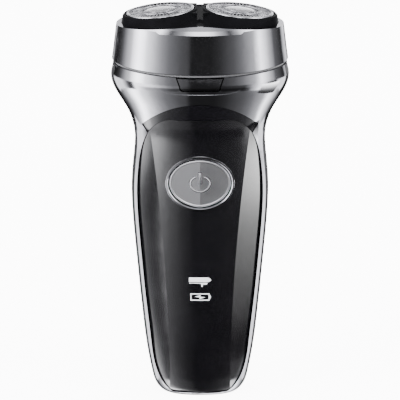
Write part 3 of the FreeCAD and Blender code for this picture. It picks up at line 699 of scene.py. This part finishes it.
@dataclass
class Cutter:
    """One slotted steel cap with its centre disc.

    Attributes:
        side: Which cutter it is.
        radius: Outer radius of the cap.
        skirt: Height of the cap's side.
        wall: Thickness of the steel.
        outer_track: The main slotted track.
        inner_track: The finer track.
        disc_radius: Radius of the centre disc.
        steps: Steps in a full turn of the rings.
    """

    side: Side
    radius: float = 12.15 * MM
    skirt: float = 4.6 * MM
    wall: float = 0.4 * MM
    outer_track: Track = Track(7.75 * MM, 11.25 * MM, 48, 0.26, 0.12 * MM)
    inner_track: Track = Track(5.25 * MM, 6.75 * MM, 30, 0.28, 0.16 * MM)
    disc_radius: float = 4.65 * MM
    steps: int = 96

    def place(self) -> Matrix:
        """Turn and shift from the cutter's own axis to its seat in the head."""
        joint = next(j for j in frame["joints"] if j["name"] == f"cutter_spin_{self.side.word}")
        lean = Vector((0, 0, 1)).rotation_difference(Vector(joint["axis"])).to_matrix().to_4x4()
        return Matrix.Translation(Vector(joint["pos_m"])) @ lean

    def cap(self) -> bpy.types.Object:
        """Builds the slotted cap: rim, groove ring, inner ring and two tracks of bars.

        Returns:
            The cap's object.
        """
        shape = bmesh.new()
        r, w = self.radius, self.wall
        out, groove_out, groove_in = self.outer_track.outer, self.outer_track.inner, self.inner_track.outer
        inner, disc = self.inner_track.inner, self.disc_radius - 0.2 * MM
        for profile in (
            ((r, -self.skirt), (r, -0.55 * MM), (r - 0.08 * MM, -0.22 * MM), (r - 0.3 * MM, -0.03 * MM),
             (r - 0.5 * MM, 0.0), (out + 0.12 * MM, 0.0), (out, -0.08 * MM), (out, -w), (r - 0.5 * MM, -w),
             (r - w, -w - 0.15 * MM), (r - w, -self.skirt)),
            ((groove_out, -w - 0.25 * MM), (groove_out, -0.05 * MM), (groove_out - 0.08 * MM, 0.0),
             (groove_out - 0.2 * MM, -0.02 * MM), (groove_out - 0.34 * MM, -0.32 * MM),
             (groove_in + 0.3 * MM, -0.32 * MM), (groove_in + 0.14 * MM, -0.02 * MM),
             (groove_in, -0.05 * MM), (groove_in, -w - 0.25 * MM)),
            ((inner, -w), (inner, -0.05 * MM), (inner - 0.1 * MM, 0.0), (disc, 0.0), (disc, -w)),
        ):
            lathe(shape, profile, self.steps)
        self.outer_track.build(shape, w)
        self.inner_track.build(shape, w)
        bmesh.ops.transform(shape, matrix=self.place(), verts=shape.verts)
        return finish_mesh(f"slotted_cap_{self.side.word}", shape)

    def disc(self) -> bpy.types.Object:
        """Builds the low domed disc with its stepped margin.

        Returns:
            The disc's object.
        """
        shape = bmesh.new()
        r = self.disc_radius
        lathe(shape, ((0.02 * MM, 0.34 * MM), (r * 0.45, 0.32 * MM), (r * 0.8, 0.25 * MM), (r * 0.84, 0.2 * MM),
                      (r * 0.88, 0.24 * MM), (r * 0.96, 0.18 * MM), (r, 0.08 * MM), (r, -0.1 * MM),
                      (0.02 * MM, -0.1 * MM)), self.steps)
        close_edges(shape)
        bmesh.ops.transform(shape, matrix=self.place(), verts=shape.verts)
        return finish_mesh(f"cap_disc_{self.side.word}", shape)

    def build(self, shop: PaintShop) -> None:
        """Makes, dresses and seats both pieces.

        Args:
            shop: Where the materials come from.
        """
        body = f"float_{self.side.word}"
        wear(self.cap(), shop, "cutter_steel", body, replaced=(f"cutter_cap_{self.side.word}",))
        wear(self.disc(), shop, "disc_steel", body, (f"cap_trim_{self.side.word}",))


# ---------- power button


@dataclass
class PowerButton:
    """Oval button with its ring and the power sign.

    Attributes:
        ridge: Angle of each half of the face away from the middle line, in degrees.
        steps: Corners of each oval.
        ring_width: Width of the ring round the button.
        gap: Gap between button and ring.
        bow: Radius of the panel's front, which the ring follows.
        sign_radius: Half width of the sign's ring.
        sign_line: Thickness of the sign's ring.
        sign_opening: Angle of the gap at the top of the sign's ring, in degrees.
        ring_lift: How far the ring stands in front of the frame's own.
        face_drop: How far the face's ridge lies behind that.
        sign_drop: How far the sign's level on the face lies behind it.
        sign_step: How far the groove lies below that level and the bright line above it.
        centre: Middle of the ring's box.
        half: Half the ring's width and height.
        front: Depth of the ring's foremost point.
    """

    ridge: float = 8.5
    steps: int = 144
    ring_width: float = 1.0 * MM
    gap: float = 0.34 * MM
    bow: float = 47.3 * MM
    sign_radius: float = 3.55 * MM
    sign_line: float = 0.30 * MM
    sign_opening: float = 52.0
    ring_lift: float = 0.08 * MM
    face_drop: float = 0.05 * MM
    sign_drop: float = 0.25 * MM
    sign_step: float = 0.14 * MM
    centre: Vector = field(init=False)
    half: Vector = field(init=False)
    front: float = field(init=False)

    def __post_init__(self) -> None:
        """Reads the oval's place and size from the frame."""
        low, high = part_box("button_bezel")
        self.centre = (low + high) / 2
        self.half = Vector(((high.x - low.x) / 2, 0.0, (high.z - low.z) / 2))
        self.front = low.y

    def oval(self, shape: bmesh.types.BMesh, profile: Iterable[tuple[float, float]]) -> None:
        """Builds a nest of ovals from the outside in.

        Args:
            shape: The bmesh to add to.
            profile: (inset from the ring's outer edge, lift towards the front) of each oval.
        """
        loops = []
        for inset, lift in profile:
            made = bmesh.ops.create_circle(shape, cap_ends=False, segments=self.steps, radius=1.0)["verts"]
            swing(shape, made, "X")
            bmesh.ops.scale(shape, verts=made, vec=(self.half.x - inset, 1.0, self.half.z - inset))
            bmesh.ops.translate(shape, verts=made, vec=(0.0, -lift, 0.0))
            loops.append(edges_of(made))
        for outer, inner in zip(loops, loops[1:]):
            bmesh.ops.bridge_loops(shape, edges=outer + inner)

    def seat(self, shape: bmesh.types.BMesh, depth: Callable[[float], float]) -> None:
        """Moves a shape to the button's height and bends it back towards its sides.

        Args:
            shape: The shape, centred on the origin.
            depth: Gives the Y to add at a sideways place.
        """
        for vert in shape.verts:
            vert.co.y += depth(vert.co.x)
        bmesh.ops.translate(shape, verts=shape.verts, vec=(0.0, 0.0, self.centre.z))

    def slant(self, x: float) -> float:
        """How far the face falls back at a sideways place."""
        return abs(x) * math.tan(math.radians(self.ridge))

    def ring(self) -> bpy.types.Object:
        """Builds the bright ring.

        Returns:
            The ring's object.
        """
        shape = bmesh.new()
        w = self.ring_width
        self.oval(shape, ((0.0, -1.2 * MM), (0.0, -0.1 * MM), (0.05 * MM, -0.04 * MM), (0.48 * MM, 0.0),
                          (0.62 * MM, 0.0), (w - 0.12 * MM, -0.22 * MM), (w, -0.5 * MM), (w, -1.2 * MM)))
        self.seat(shape, lambda x: x * x / (2 * self.bow) + self.front - self.ring_lift)
        return finish_mesh("button_ring", shape, 16.0)

    def face(self) -> bpy.types.Object:
        """Builds the button's face: two flat halves that meet on an upright ridge.

        Returns:
            The button's object.
        """
        shape = bmesh.new()
        edge = self.ring_width + self.gap
        self.oval(shape, ((edge, -2.4 * MM), (edge, -0.5 * MM), (edge + 0.1 * MM, -0.32 * MM),
                          (edge + 0.4 * MM, -0.14 * MM), (edge + 0.62 * MM, -0.12 * MM),
                          (edge + 0.84 * MM, -0.2 * MM)))
        close_edges(shape)
        bmesh.ops.bisect_plane(shape, geom=shape.verts[:] + shape.edges[:] + shape.faces[:],
                               plane_co=(0, 0, 0), plane_no=(1, 0, 0))
        self.seat(shape, lambda x: self.slant(x) + self.front + self.face_drop)
        return finish_mesh("button_face", shape, 11.0)

    def sign(self, radius: float, line: float, lift: float, name: str) -> bpy.types.Object:
        """Builds the broken ring and the upright bar of the power sign.

        Args:
            radius: Half width of the ring.
            line: Half thickness of the ring's round section.
            lift: How far the section's middle stands in front of the face.
            name: The piece's name.

        Returns:
            The sign's object.
        """
        shape = bmesh.new()
        opening = math.radians(self.sign_opening)
        section = bmesh.ops.create_circle(shape, cap_ends=False, segments=12, radius=line)["verts"]
        swing(shape, section, "Y")
        bmesh.ops.translate(shape, verts=section, vec=(0.0, 0.0, radius))
        swing(shape, section, "Y", opening / 2)
        bmesh.ops.spin(shape, geom=section + edges_of(section), cent=(0, 0, 0), axis=(0, 1, 0),
                       angle=2 * math.pi - opening, steps=72)
        close_edges(shape)
        bmesh.ops.scale(shape, verts=shape.verts, vec=(1.0, 0.55, self.half.z / self.half.x))
        bar = (0.5 * MM + line * 1.8, line * 1.3, radius * 1.1 + line)
        block(shape, bar, Vector((0.0, 0.0, radius * 0.6)), soften=line * 0.42)
        self.seat(shape, lambda x: self.front + self.sign_drop + self.slant(x) - lift)
        return finish_mesh(name, shape)

    def build(self, shop: PaintShop) -> None:
        """Makes, dresses and seats ring, face and sign.

        Args:
            shop: Where the materials come from.
        """
        wear(self.ring(), shop, "plated_dark", "handle", ("button_bezel",))
        wear(self.face(), shop, "button_metal", "power_key", replaced=("power_button",))
        # A near-black ring, a little wider than the bright line: painted shadow standing in for the shade in the
        # groove round the sign.
        groove = self.sign(self.sign_radius, self.sign_line * 1.9, -self.sign_step, "sign_groove")
        wear(groove, shop, "sign_shadow", "power_key")
        bright = self.sign(self.sign_radius - 0.08 * MM, self.sign_line * 0.62, self.sign_step, "power_sign")
        wear(bright, shop, "sign_bright", "power_key", ("power_symbol",))


# ---------- charge symbols


@dataclass
class ChargeSymbols:
    """White battery signs printed in front of the two clear windows.

    Attributes:
        width: Width of each battery.
        height: Height of each battery.
        line: Line width of the open battery.
        lift: How far the print stands in front of the window.
        ink: Thickness of the print.
    """

    width: float = 7.9 * MM
    height: float = 2.7 * MM
    line: float = 0.34 * MM
    lift: float = 0.04 * MM
    ink: float = 0.03 * MM

    def seat(self, shape: bmesh.types.BMesh, node: str) -> None:
        """Bends a flat sign onto the window's front.

        Args:
            shape: The sign, centred on the origin.
            node: The window's node.
        """
        low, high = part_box(node)
        middle = (low.z + high.z) / 2
        skin = Skin("front_panel")
        window = Skin(node)
        for vert in shape.verts:
            height = vert.co.z + middle
            seat = window.depth(vert.co.x, height, skin.depth(vert.co.x, height, low.y))
            vert.co.y += min(seat, low.y + 1.0 * MM) - self.lift
            vert.co.z = height

    def strip(self, shape: bmesh.types.BMesh, left: float, right: float, top: float, low: float,
              parts: int = 1) -> None:
        """Adds a rectangle in equal parts side by side, so that a long one can bend.

        Args:
            shape: The sign's bmesh.
            left: Left edge.
            right: Right edge.
            top: Upper edge.
            low: Lower edge.
            parts: Number of parts.
        """
        for part in range(parts):
            one, other = (left + (right - left) * index / parts for index in (part, part + 1))
            plate(shape, [(one, top), (other, top), (other, low), (one, low)], self.ink)

    def full_battery(self) -> bpy.types.Object:
        """Builds the solid battery with a small plug below it.

        Returns:
            The sign's object.
        """
        shape = bmesh.new()
        w, h = self.width / 2, self.height / 2
        tip, side = w - 1.0 * MM, w - 0.1 * MM
        self.strip(shape, -w, tip, h, -h * 0.25, 8)
        plate(shape, [(tip, h), (side, h * 0.55), (w, h * 0.2), (side, 0.0), (tip, -h * 0.25)], self.ink)
        self.strip(shape, -w, -0.4 * MM, -h * 0.5, -h * 0.66)
        plate(shape, [(-0.3 * MM, -h * 0.5), (2.7 * MM, -h * 0.5), (2.4 * MM, -h * 0.95), (1.0 * MM, -h * 0.95),
                      (1.0 * MM, -h * 1.55), (0.45 * MM, -h * 1.55), (0.45 * MM, -h * 0.8), (-0.3 * MM, -h * 0.7)],
              self.ink)
        self.seat(shape, "charge_lens")
        return finish_mesh("charge_sign", shape)

    def open_battery(self) -> bpy.types.Object:
        """Builds the outlined battery with a lightning mark in it.

        Returns:
            The sign's object.
        """
        shape = bmesh.new()
        w, h, t = self.width / 2 - 0.5 * MM, self.height / 2, self.line
        self.strip(shape, -w, w, h, h - t, 6)
        self.strip(shape, -w, w, -h + t, -h, 6)
        self.strip(shape, -w, -w + t, h - t, -h + t)
        self.strip(shape, w - t, w, h - t, -h + t)
        nub = w + 0.45 * MM
        plate(shape, [(w, h * 0.5), (nub, h * 0.3), (nub, -h * 0.3), (w, -h * 0.5)], self.ink)
        bolt = [(-1.9, 0.1), (0.2, 0.75), (0.1, 0.12), (1.9, -0.1), (-0.2, -0.75), (-0.1, -0.12)]
        plate(shape, [(x * MM, z * MM) for x, z in bolt], self.ink)
        self.seat(shape, "battery_lens")
        return finish_mesh("battery_sign", shape)

    def build(self, shop: PaintShop) -> None:
        """Makes and seats both signs and darkens their windows.

        Args:
            shop: Where the materials come from.
        """
        wear(self.full_battery(), shop, "icon_white", "handle")
        wear(self.open_battery(), shop, "icon_white", "handle")
        for node in ("charge_lens", "battery_lens"):
            shop.dress(frame["nodes"][node], "gloss_black")


# ---------- collar details


@dataclass
class ThumbLedge:
    """Thin raised line under the release button that stops the thumb.

    Attributes:
        half_width: Half its length across the collar.
        middle_height: Height of its lowest point.
        rise: How much higher its ends are.
        thick: How far it stands out.
        stations: Number of points along it.
        depth: Its Y where it leaves the collar.
    """

    half_width: float = 14.6 * MM
    middle_height: float = 114.5 * MM
    rise: float = 1.7 * MM
    thick: float = 0.14 * MM
    stations: int = 48
    depth: float = -22.5 * MM

    def build(self, shop: PaintShop) -> None:
        """Makes and seats the ledge.

        Args:
            shop: Where the material comes from.
        """
        skin = Skin("chrome_frame")
        shape = bmesh.new()
        rings = []
        for index in range(self.stations + 1):
            share = 2 * index / self.stations - 1
            x = share * self.half_width
            z = self.middle_height + self.rise * abs(share) ** 5
            size = self.thick * max(0.12, math.cos(share * math.pi / 2) ** 0.35)
            made = bmesh.ops.create_circle(shape, cap_ends=False, segments=8, radius=size)["verts"]
            swing(shape, made, "Y")
            bmesh.ops.scale(shape, verts=made, vec=(1.0, 1.0, 1.4))
            bmesh.ops.translate(shape, verts=made, vec=(x, skin.depth(x, z, self.depth), z))
            rings.append(edges_of(made))
        for one, other in zip(rings, rings[1:]):
            bmesh.ops.bridge_loops(shape, edges=one + other)
        close_edges(shape)
        wear(finish_mesh("thumb_ledge", shape), shop, "plated_dark", "handle")


# ---------- studio


def aim_at(thing: bpy.types.Object, azimuth: float, elevation: float, distance: float, aim: Vector) -> None:
    """Stands a light or the camera off from a point and turns it to face it.

    Args:
        thing: What to place.
        azimuth: Degrees from straight in front, positive to the right.
        elevation: Degrees above the point.
        distance: Metres from the point.
        aim: The point.
    """
    turn, rise = math.radians(azimuth), math.radians(elevation)
    way = Vector((math.sin(turn) * math.cos(rise), -math.cos(turn) * math.cos(rise), math.sin(rise)))
    thing.location = aim + way * distance
    thing.rotation_euler = (-way).to_track_quat("-Z", "Y").to_euler()


def stage_object(name: str, shape: bmesh.types.BMesh, material: bpy.types.Material) -> bpy.types.Object:
    """Turns a bmesh into an object that isn't part of the shaver.

    Args:
        name: The object's name.
        shape: The bmesh, which is freed.
        material: Its material.

    Returns:
        The new object.
    """
    mesh = bpy.data.meshes.new(name)
    shape.to_mesh(mesh)
    shape.free()
    mesh.materials.append(material)
    return linked_object(name, mesh)


@dataclass(frozen=True)
class Panel:
    """A soft light panel that stands round the shaver.

    Attributes:
        name: The light's name.
        azimuth: Degrees from straight in front, positive to the right.
        elevation: Degrees above the shaver's middle.
        width: Width in metres.
        height: Height in metres.
        power: Watts.
        distance: Metres from the shaver's middle.
    """

    name: str
    azimuth: float
    elevation: float
    width: float
    height: float
    power: float
    distance: float = 0.8

    def place(self, aim: Vector) -> None:
        """Makes the light and points it at the shaver.

        Args:
            aim: The point to light.
        """
        data = bpy.data.lights.new(self.name, "AREA")
        data.shape = "RECTANGLE"
        data.size = self.width
        data.size_y = self.height
        data.energy = self.power
        lamp = linked_object(self.name, data)
        aim_at(lamp, self.azimuth, self.elevation, self.distance, aim)
        lamp.visible_glossy = False


@dataclass(frozen=True)
class Zone:
    """Brightness of the room over one range of heights.

    Attributes:
        start: Elevation in degrees where the zone begins to show.
        full: Elevation in degrees from where it shows alone.
        stops: (azimuth in degrees, brightness), zero azimuth in front and positive to the right.
    """

    start: float
    full: float
    stops: tuple[tuple[float, float], ...]

    def dimmed(self, start: float, full: float, reach: float, share: float) -> "Zone":
        """A copy of the zone that is darker in front.

        Args:
            start: Elevation where the copy begins to show.
            full: Elevation from where it shows alone.
            reach: Azimuth up to which it is darker, to either side.
            share: Brightness left there.

        Returns:
            The new zone.
        """
        stops = tuple((turn, level * (share if abs(turn) < reach else 1.0)) for turn, level in self.stops)
        return Zone(start, full, stops)


LOW_ZONE = Zone(-22.0, -16.5, (
    (-180, 0.02), (-140, 0.02), (-135, 3.0), (-106, 3.0), (-100, 1.8), (-92, 0.4), (-86, 0.10), (-80, 0.12),
    (-75, 6.0), (-58, 4.8), (-47, 2.9), (-36, 1.2), (-28, 0.55), (-15, 0.15), (-8.6, 0.08), (-8, 0.028),
    (14, 0.03), (31, 0.07), (44, 0.12), (50, 0.5), (60, 2.0), (67, 5.0), (75, 3.0),
    (80, 0.2), (100, 0.1), (105, 3.0), (134, 3.0), (139, 0.02), (180, 0.02)))
DEEP_ZONE = LOW_ZONE.dimmed(-31.0, -28.0, 60.0, 0.3)
EYE_ZONE = Zone(-11.0, -7.5, (
    (-180, 3.0), (-158, 3.3), (-146, 0.3), (-139, 0.03), (-128, 0.03), (-117, 0.09), (-108, 0.24), (-100, 0.62),
    (-85, 1.9), (-76, 6.0), (-69, 9.0), (-61, 7.0), (-56, 3.8), (-47, 2.2), (-42, 1.3), (-36, 0.74), (-28, 0.38),
    (-15, 0.17), (-8.6, 0.13), (-8, 0.028), (8, 0.028), (16, 0.062), (31, 0.2), (41, 0.4), (57, 1.2),
    (62, 3.0), (67, 6.0), (76, 3.3), (85, 1.4), (98, 0.24), (126, 0.03), (160, 4.0)))
HIGH_ZONE = Zone(8.0, 14.0, (
    (-180, 0.5), (-100, 1.5), (-75, 5.0), (-40, 6.0), (-35, 2.0), (-28, 0.12), (-14, 1.0), (-4, 5.0), (6, 5.0),
    (16, 1.6), (28, 0.1), (36, 0.8), (42, 2.5), (60, 6.0), (75, 4.0), (100, 1.0), (180, 0.5)))
CEILING = Zone(40.0, 52.0, ((-180, 0.8), (-60, 0.5), (0, 0.8), (60, 0.5), (180, 0.8)))


@dataclass(frozen=True)
class LightCard:
    """A glowing card close to the shaver that only the gloss surfaces mirror.

    Attributes:
        name: The card's name.
        azimuth: Degrees from straight in front, positive to the right.
        distance: Metres from the axis to the card's middle.
        width: Width in metres.
        low: Height of its dark lower edge.
        high: Height of its upper edge.
        glow: Brightness at its upper edge.
        fall: How steeply it fades downward.
    """

    name: str
    azimuth: float
    distance: float
    width: float
    low: float
    high: float
    glow: float
    fall: float = 1.0

    def place(self) -> None:
        """Builds the card in place."""
        shape = bmesh.new()
        bmesh.ops.create_grid(shape, x_segments=8, y_segments=8, size=0.5)
        swing(shape, shape.verts, "X")
        bmesh.ops.scale(shape, verts=shape.verts, vec=(self.width, 1.0, self.high - self.low))
        bmesh.ops.translate(shape, verts=shape.verts, vec=(0.0, -self.distance, (self.high + self.low) / 2))
        swing(shape, shape.verts, "Z", math.radians(self.azimuth))
        card = stage_object(self.name, shape, self.glow_material())
        card.visible_camera = False
        card.visible_diffuse = False
        card.visible_shadow = False
        card.visible_transmission = False

    def glow_material(self) -> bpy.types.Material:
        """Makes the glow that fades downward.

        Returns:
            The card's material.
        """
        material, tree, shader = new_material(self.name)
        split = add_node(tree, "ShaderNodeSeparateXYZ")
        link(tree, add_node(tree, "ShaderNodeTexCoord").outputs["Object"], split.inputs["Vector"])
        fade = math_node(tree, "POWER", span(tree, split.outputs["Z"], self.low, self.high), self.fall)
        feed(tree, shader, {
            "Base Color": (0.0, 0.0, 0.0, 1.0), "Specular IOR Level": 0.0, "Emission Color": WHITE,
            "Emission Strength": math_node(tree, "MULTIPLY", fade, self.glow)})
        return material


@dataclass
class Studio:
    """Floor, soft lights, surroundings and the camera.

    Attributes:
        view_height: Height of the picture at the shaver, in metres.
        elevation: Degrees that the camera looks down.
        distance: Metres from the camera to the aim point.
        aim_height: Height of the aim point.
        floor_size: Half the floor's side, in metres.
        floor_glow: Glow that the camera sees on the floor, over its own.
        floor_own_glow: Glow of the floor for all else.
        pull_left: How much the low surroundings close in on the left as they go down.
        pull_more: How much more they do so on the right.
        cool: Blue of the surroundings as a share of their red.
        panels: The soft lights.
        cards: The glowing cards.
    """

    view_height: float = 0.14477
    elevation: float = 14.6
    distance: float = 1.6
    aim_height: float = 0.07027
    floor_size: float = 30.0
    floor_glow: float = 9.0
    floor_own_glow: float = 0.25
    pull_left: float = 0.39
    pull_more: float = 0.17
    cool: float = 1.03
    panels: tuple[Panel, ...] = (
        Panel("key_panel", -50.0, 12.0, 0.34, 0.9, 9.0),
        Panel("fill_panel", 62.0, 14.0, 0.30, 0.9, 5.0),
        Panel("rim_left", -150.0, 10.0, 0.3, 0.9, 7.0),
        Panel("rim_right", 150.0, 10.0, 0.3, 0.9, 7.0),
        Panel("top_panel", 180.0, 72.0, 0.5, 0.4, 4.0),
    )
    cards: tuple[LightCard, ...] = (
        LightCard("right_card", 88.0, 0.35, 0.26, -0.14, 0.03, 8.0, 2.5),
    )

    def floor(self) -> None:
        """Lays the pale floor."""
        shape = bmesh.new()
        bmesh.ops.create_grid(shape, x_segments=4, y_segments=4, size=self.floor_size)
        material, tree, shader = new_material("pale_floor")
        sight = add_node(tree, "ShaderNodeLightPath").outputs["Is Camera Ray"]
        glow = math_node(tree, "MULTIPLY_ADD", sight, self.floor_glow, self.floor_own_glow)
        feed(tree, shader, {"Base Color": (0.93, 0.93, 0.93, 1.0), "Roughness": 0.6, "Emission Color": WHITE,
                            "Emission Strength": glow})
        floor = stage_object("studio_floor", shape, material)
        floor.visible_glossy = False

    def surroundings(self) -> None:
        """Sets the room that the gloss surfaces mirror, one zone of height above the other."""
        world = bpy.data.worlds.new("studio_room")
        bpy.context.scene.world = world
        world.use_nodes = True
        tree = world.node_tree
        split = add_node(tree, "ShaderNodeSeparateXYZ")
        link(tree, add_node(tree, "ShaderNodeTexCoord").outputs["Generated"], split.inputs["Vector"])
        ahead = math_node(tree, "MULTIPLY", split.outputs["Y"], -1.0)
        turn = math_node(tree, "ARCTAN2", split.outputs["X"], ahead)
        to_right = math_node(tree, "GREATER_THAN", turn, 0.0)
        pull = math_node(tree, "MULTIPLY_ADD", to_right, self.pull_more, self.pull_left)
        sunk = math_node(tree, "MULTIPLY_ADD", split.outputs["Z"], pull, 1.0)
        result = self.ramp_of(tree, math_node(tree, "MULTIPLY", turn, sunk), EYE_ZONE)
        for zone in (DEEP_ZONE, LOW_ZONE, EYE_ZONE, HIGH_ZONE, CEILING):
            start, full = (math.sin(math.radians(height)) for height in (zone.start, zone.full))
            blend = add_node(tree, "ShaderNodeMix", data_type="RGBA")
            share = span(tree, split.outputs["Z"], start, full, interpolation_type="SMOOTHSTEP")
            feed(tree, blend, {"Factor": share, "A": result, "B": self.ramp_of(tree, turn, zone)})
            result = blend.outputs["Result"]
        feed(tree, tree.nodes["Background"], {"Color": result, "Strength": 1.0})

    def ramp_of(self, tree: bpy.types.NodeTree, turn: bpy.types.NodeSocket, zone: Zone) -> bpy.types.NodeSocket:
        """Adds the ramp that holds one zone's brightness round the shaver.

        Args:
            tree: The room's tree.
            turn: The direction's azimuth in radians.
            zone: The zone.

        Returns:
            The ramp's colour socket.
        """
        node = add_node(tree, "ShaderNodeValToRGB")
        link(tree, span(tree, turn, -math.pi, math.pi), node.inputs["Fac"])
        ramp = node.color_ramp
        ramp.elements.remove(ramp.elements[0])
        for index, (azimuth, level) in enumerate(zone.stops):
            place = (azimuth + 180) / 360
            stop = ramp.elements[0] if index == 0 else ramp.elements.new(place)
            stop.position = place
            stop.color = (level, level, level * self.cool, 1.0)
        return node.outputs["Color"]

    def camera(self, aim: Vector) -> None:
        """Sets the long-lens camera at the front, looking slightly down.

        Args:
            aim: The point it looks at.
        """
        data = bpy.data.cameras.new("camera")
        data.sensor_width = 36.0
        data.lens = self.distance * data.sensor_width / self.view_height
        data.clip_end = 100.0
        camera = linked_object("camera", data)
        aim_at(camera, 0.0, self.elevation, self.distance, aim)
        bpy.context.scene.camera = camera

    def build(self) -> None:
        """Sets up the whole studio."""
        self.floor()
        self.surroundings()
        aim = Vector((0.0, 0.0, self.aim_height))
        for panel in self.panels:
            panel.place(aim)
        for card in self.cards:
            card.place()
        self.camera(aim)


def main() -> None:
    """Dresses the frame, builds the fine pieces and sets the studio."""
    logging.basicConfig(level=logging.INFO, format="%(name)s: %(message)s")
    shop = PaintShop()
    shop.dress_frame(frame)
    for side in Side:
        Cutter(side).build(shop)
    PowerButton().build(shop)
    ChargeSymbols().build(shop)
    ThumbLedge().build(shop)
    Studio().build()


if __name__ == "__main__":
    main()
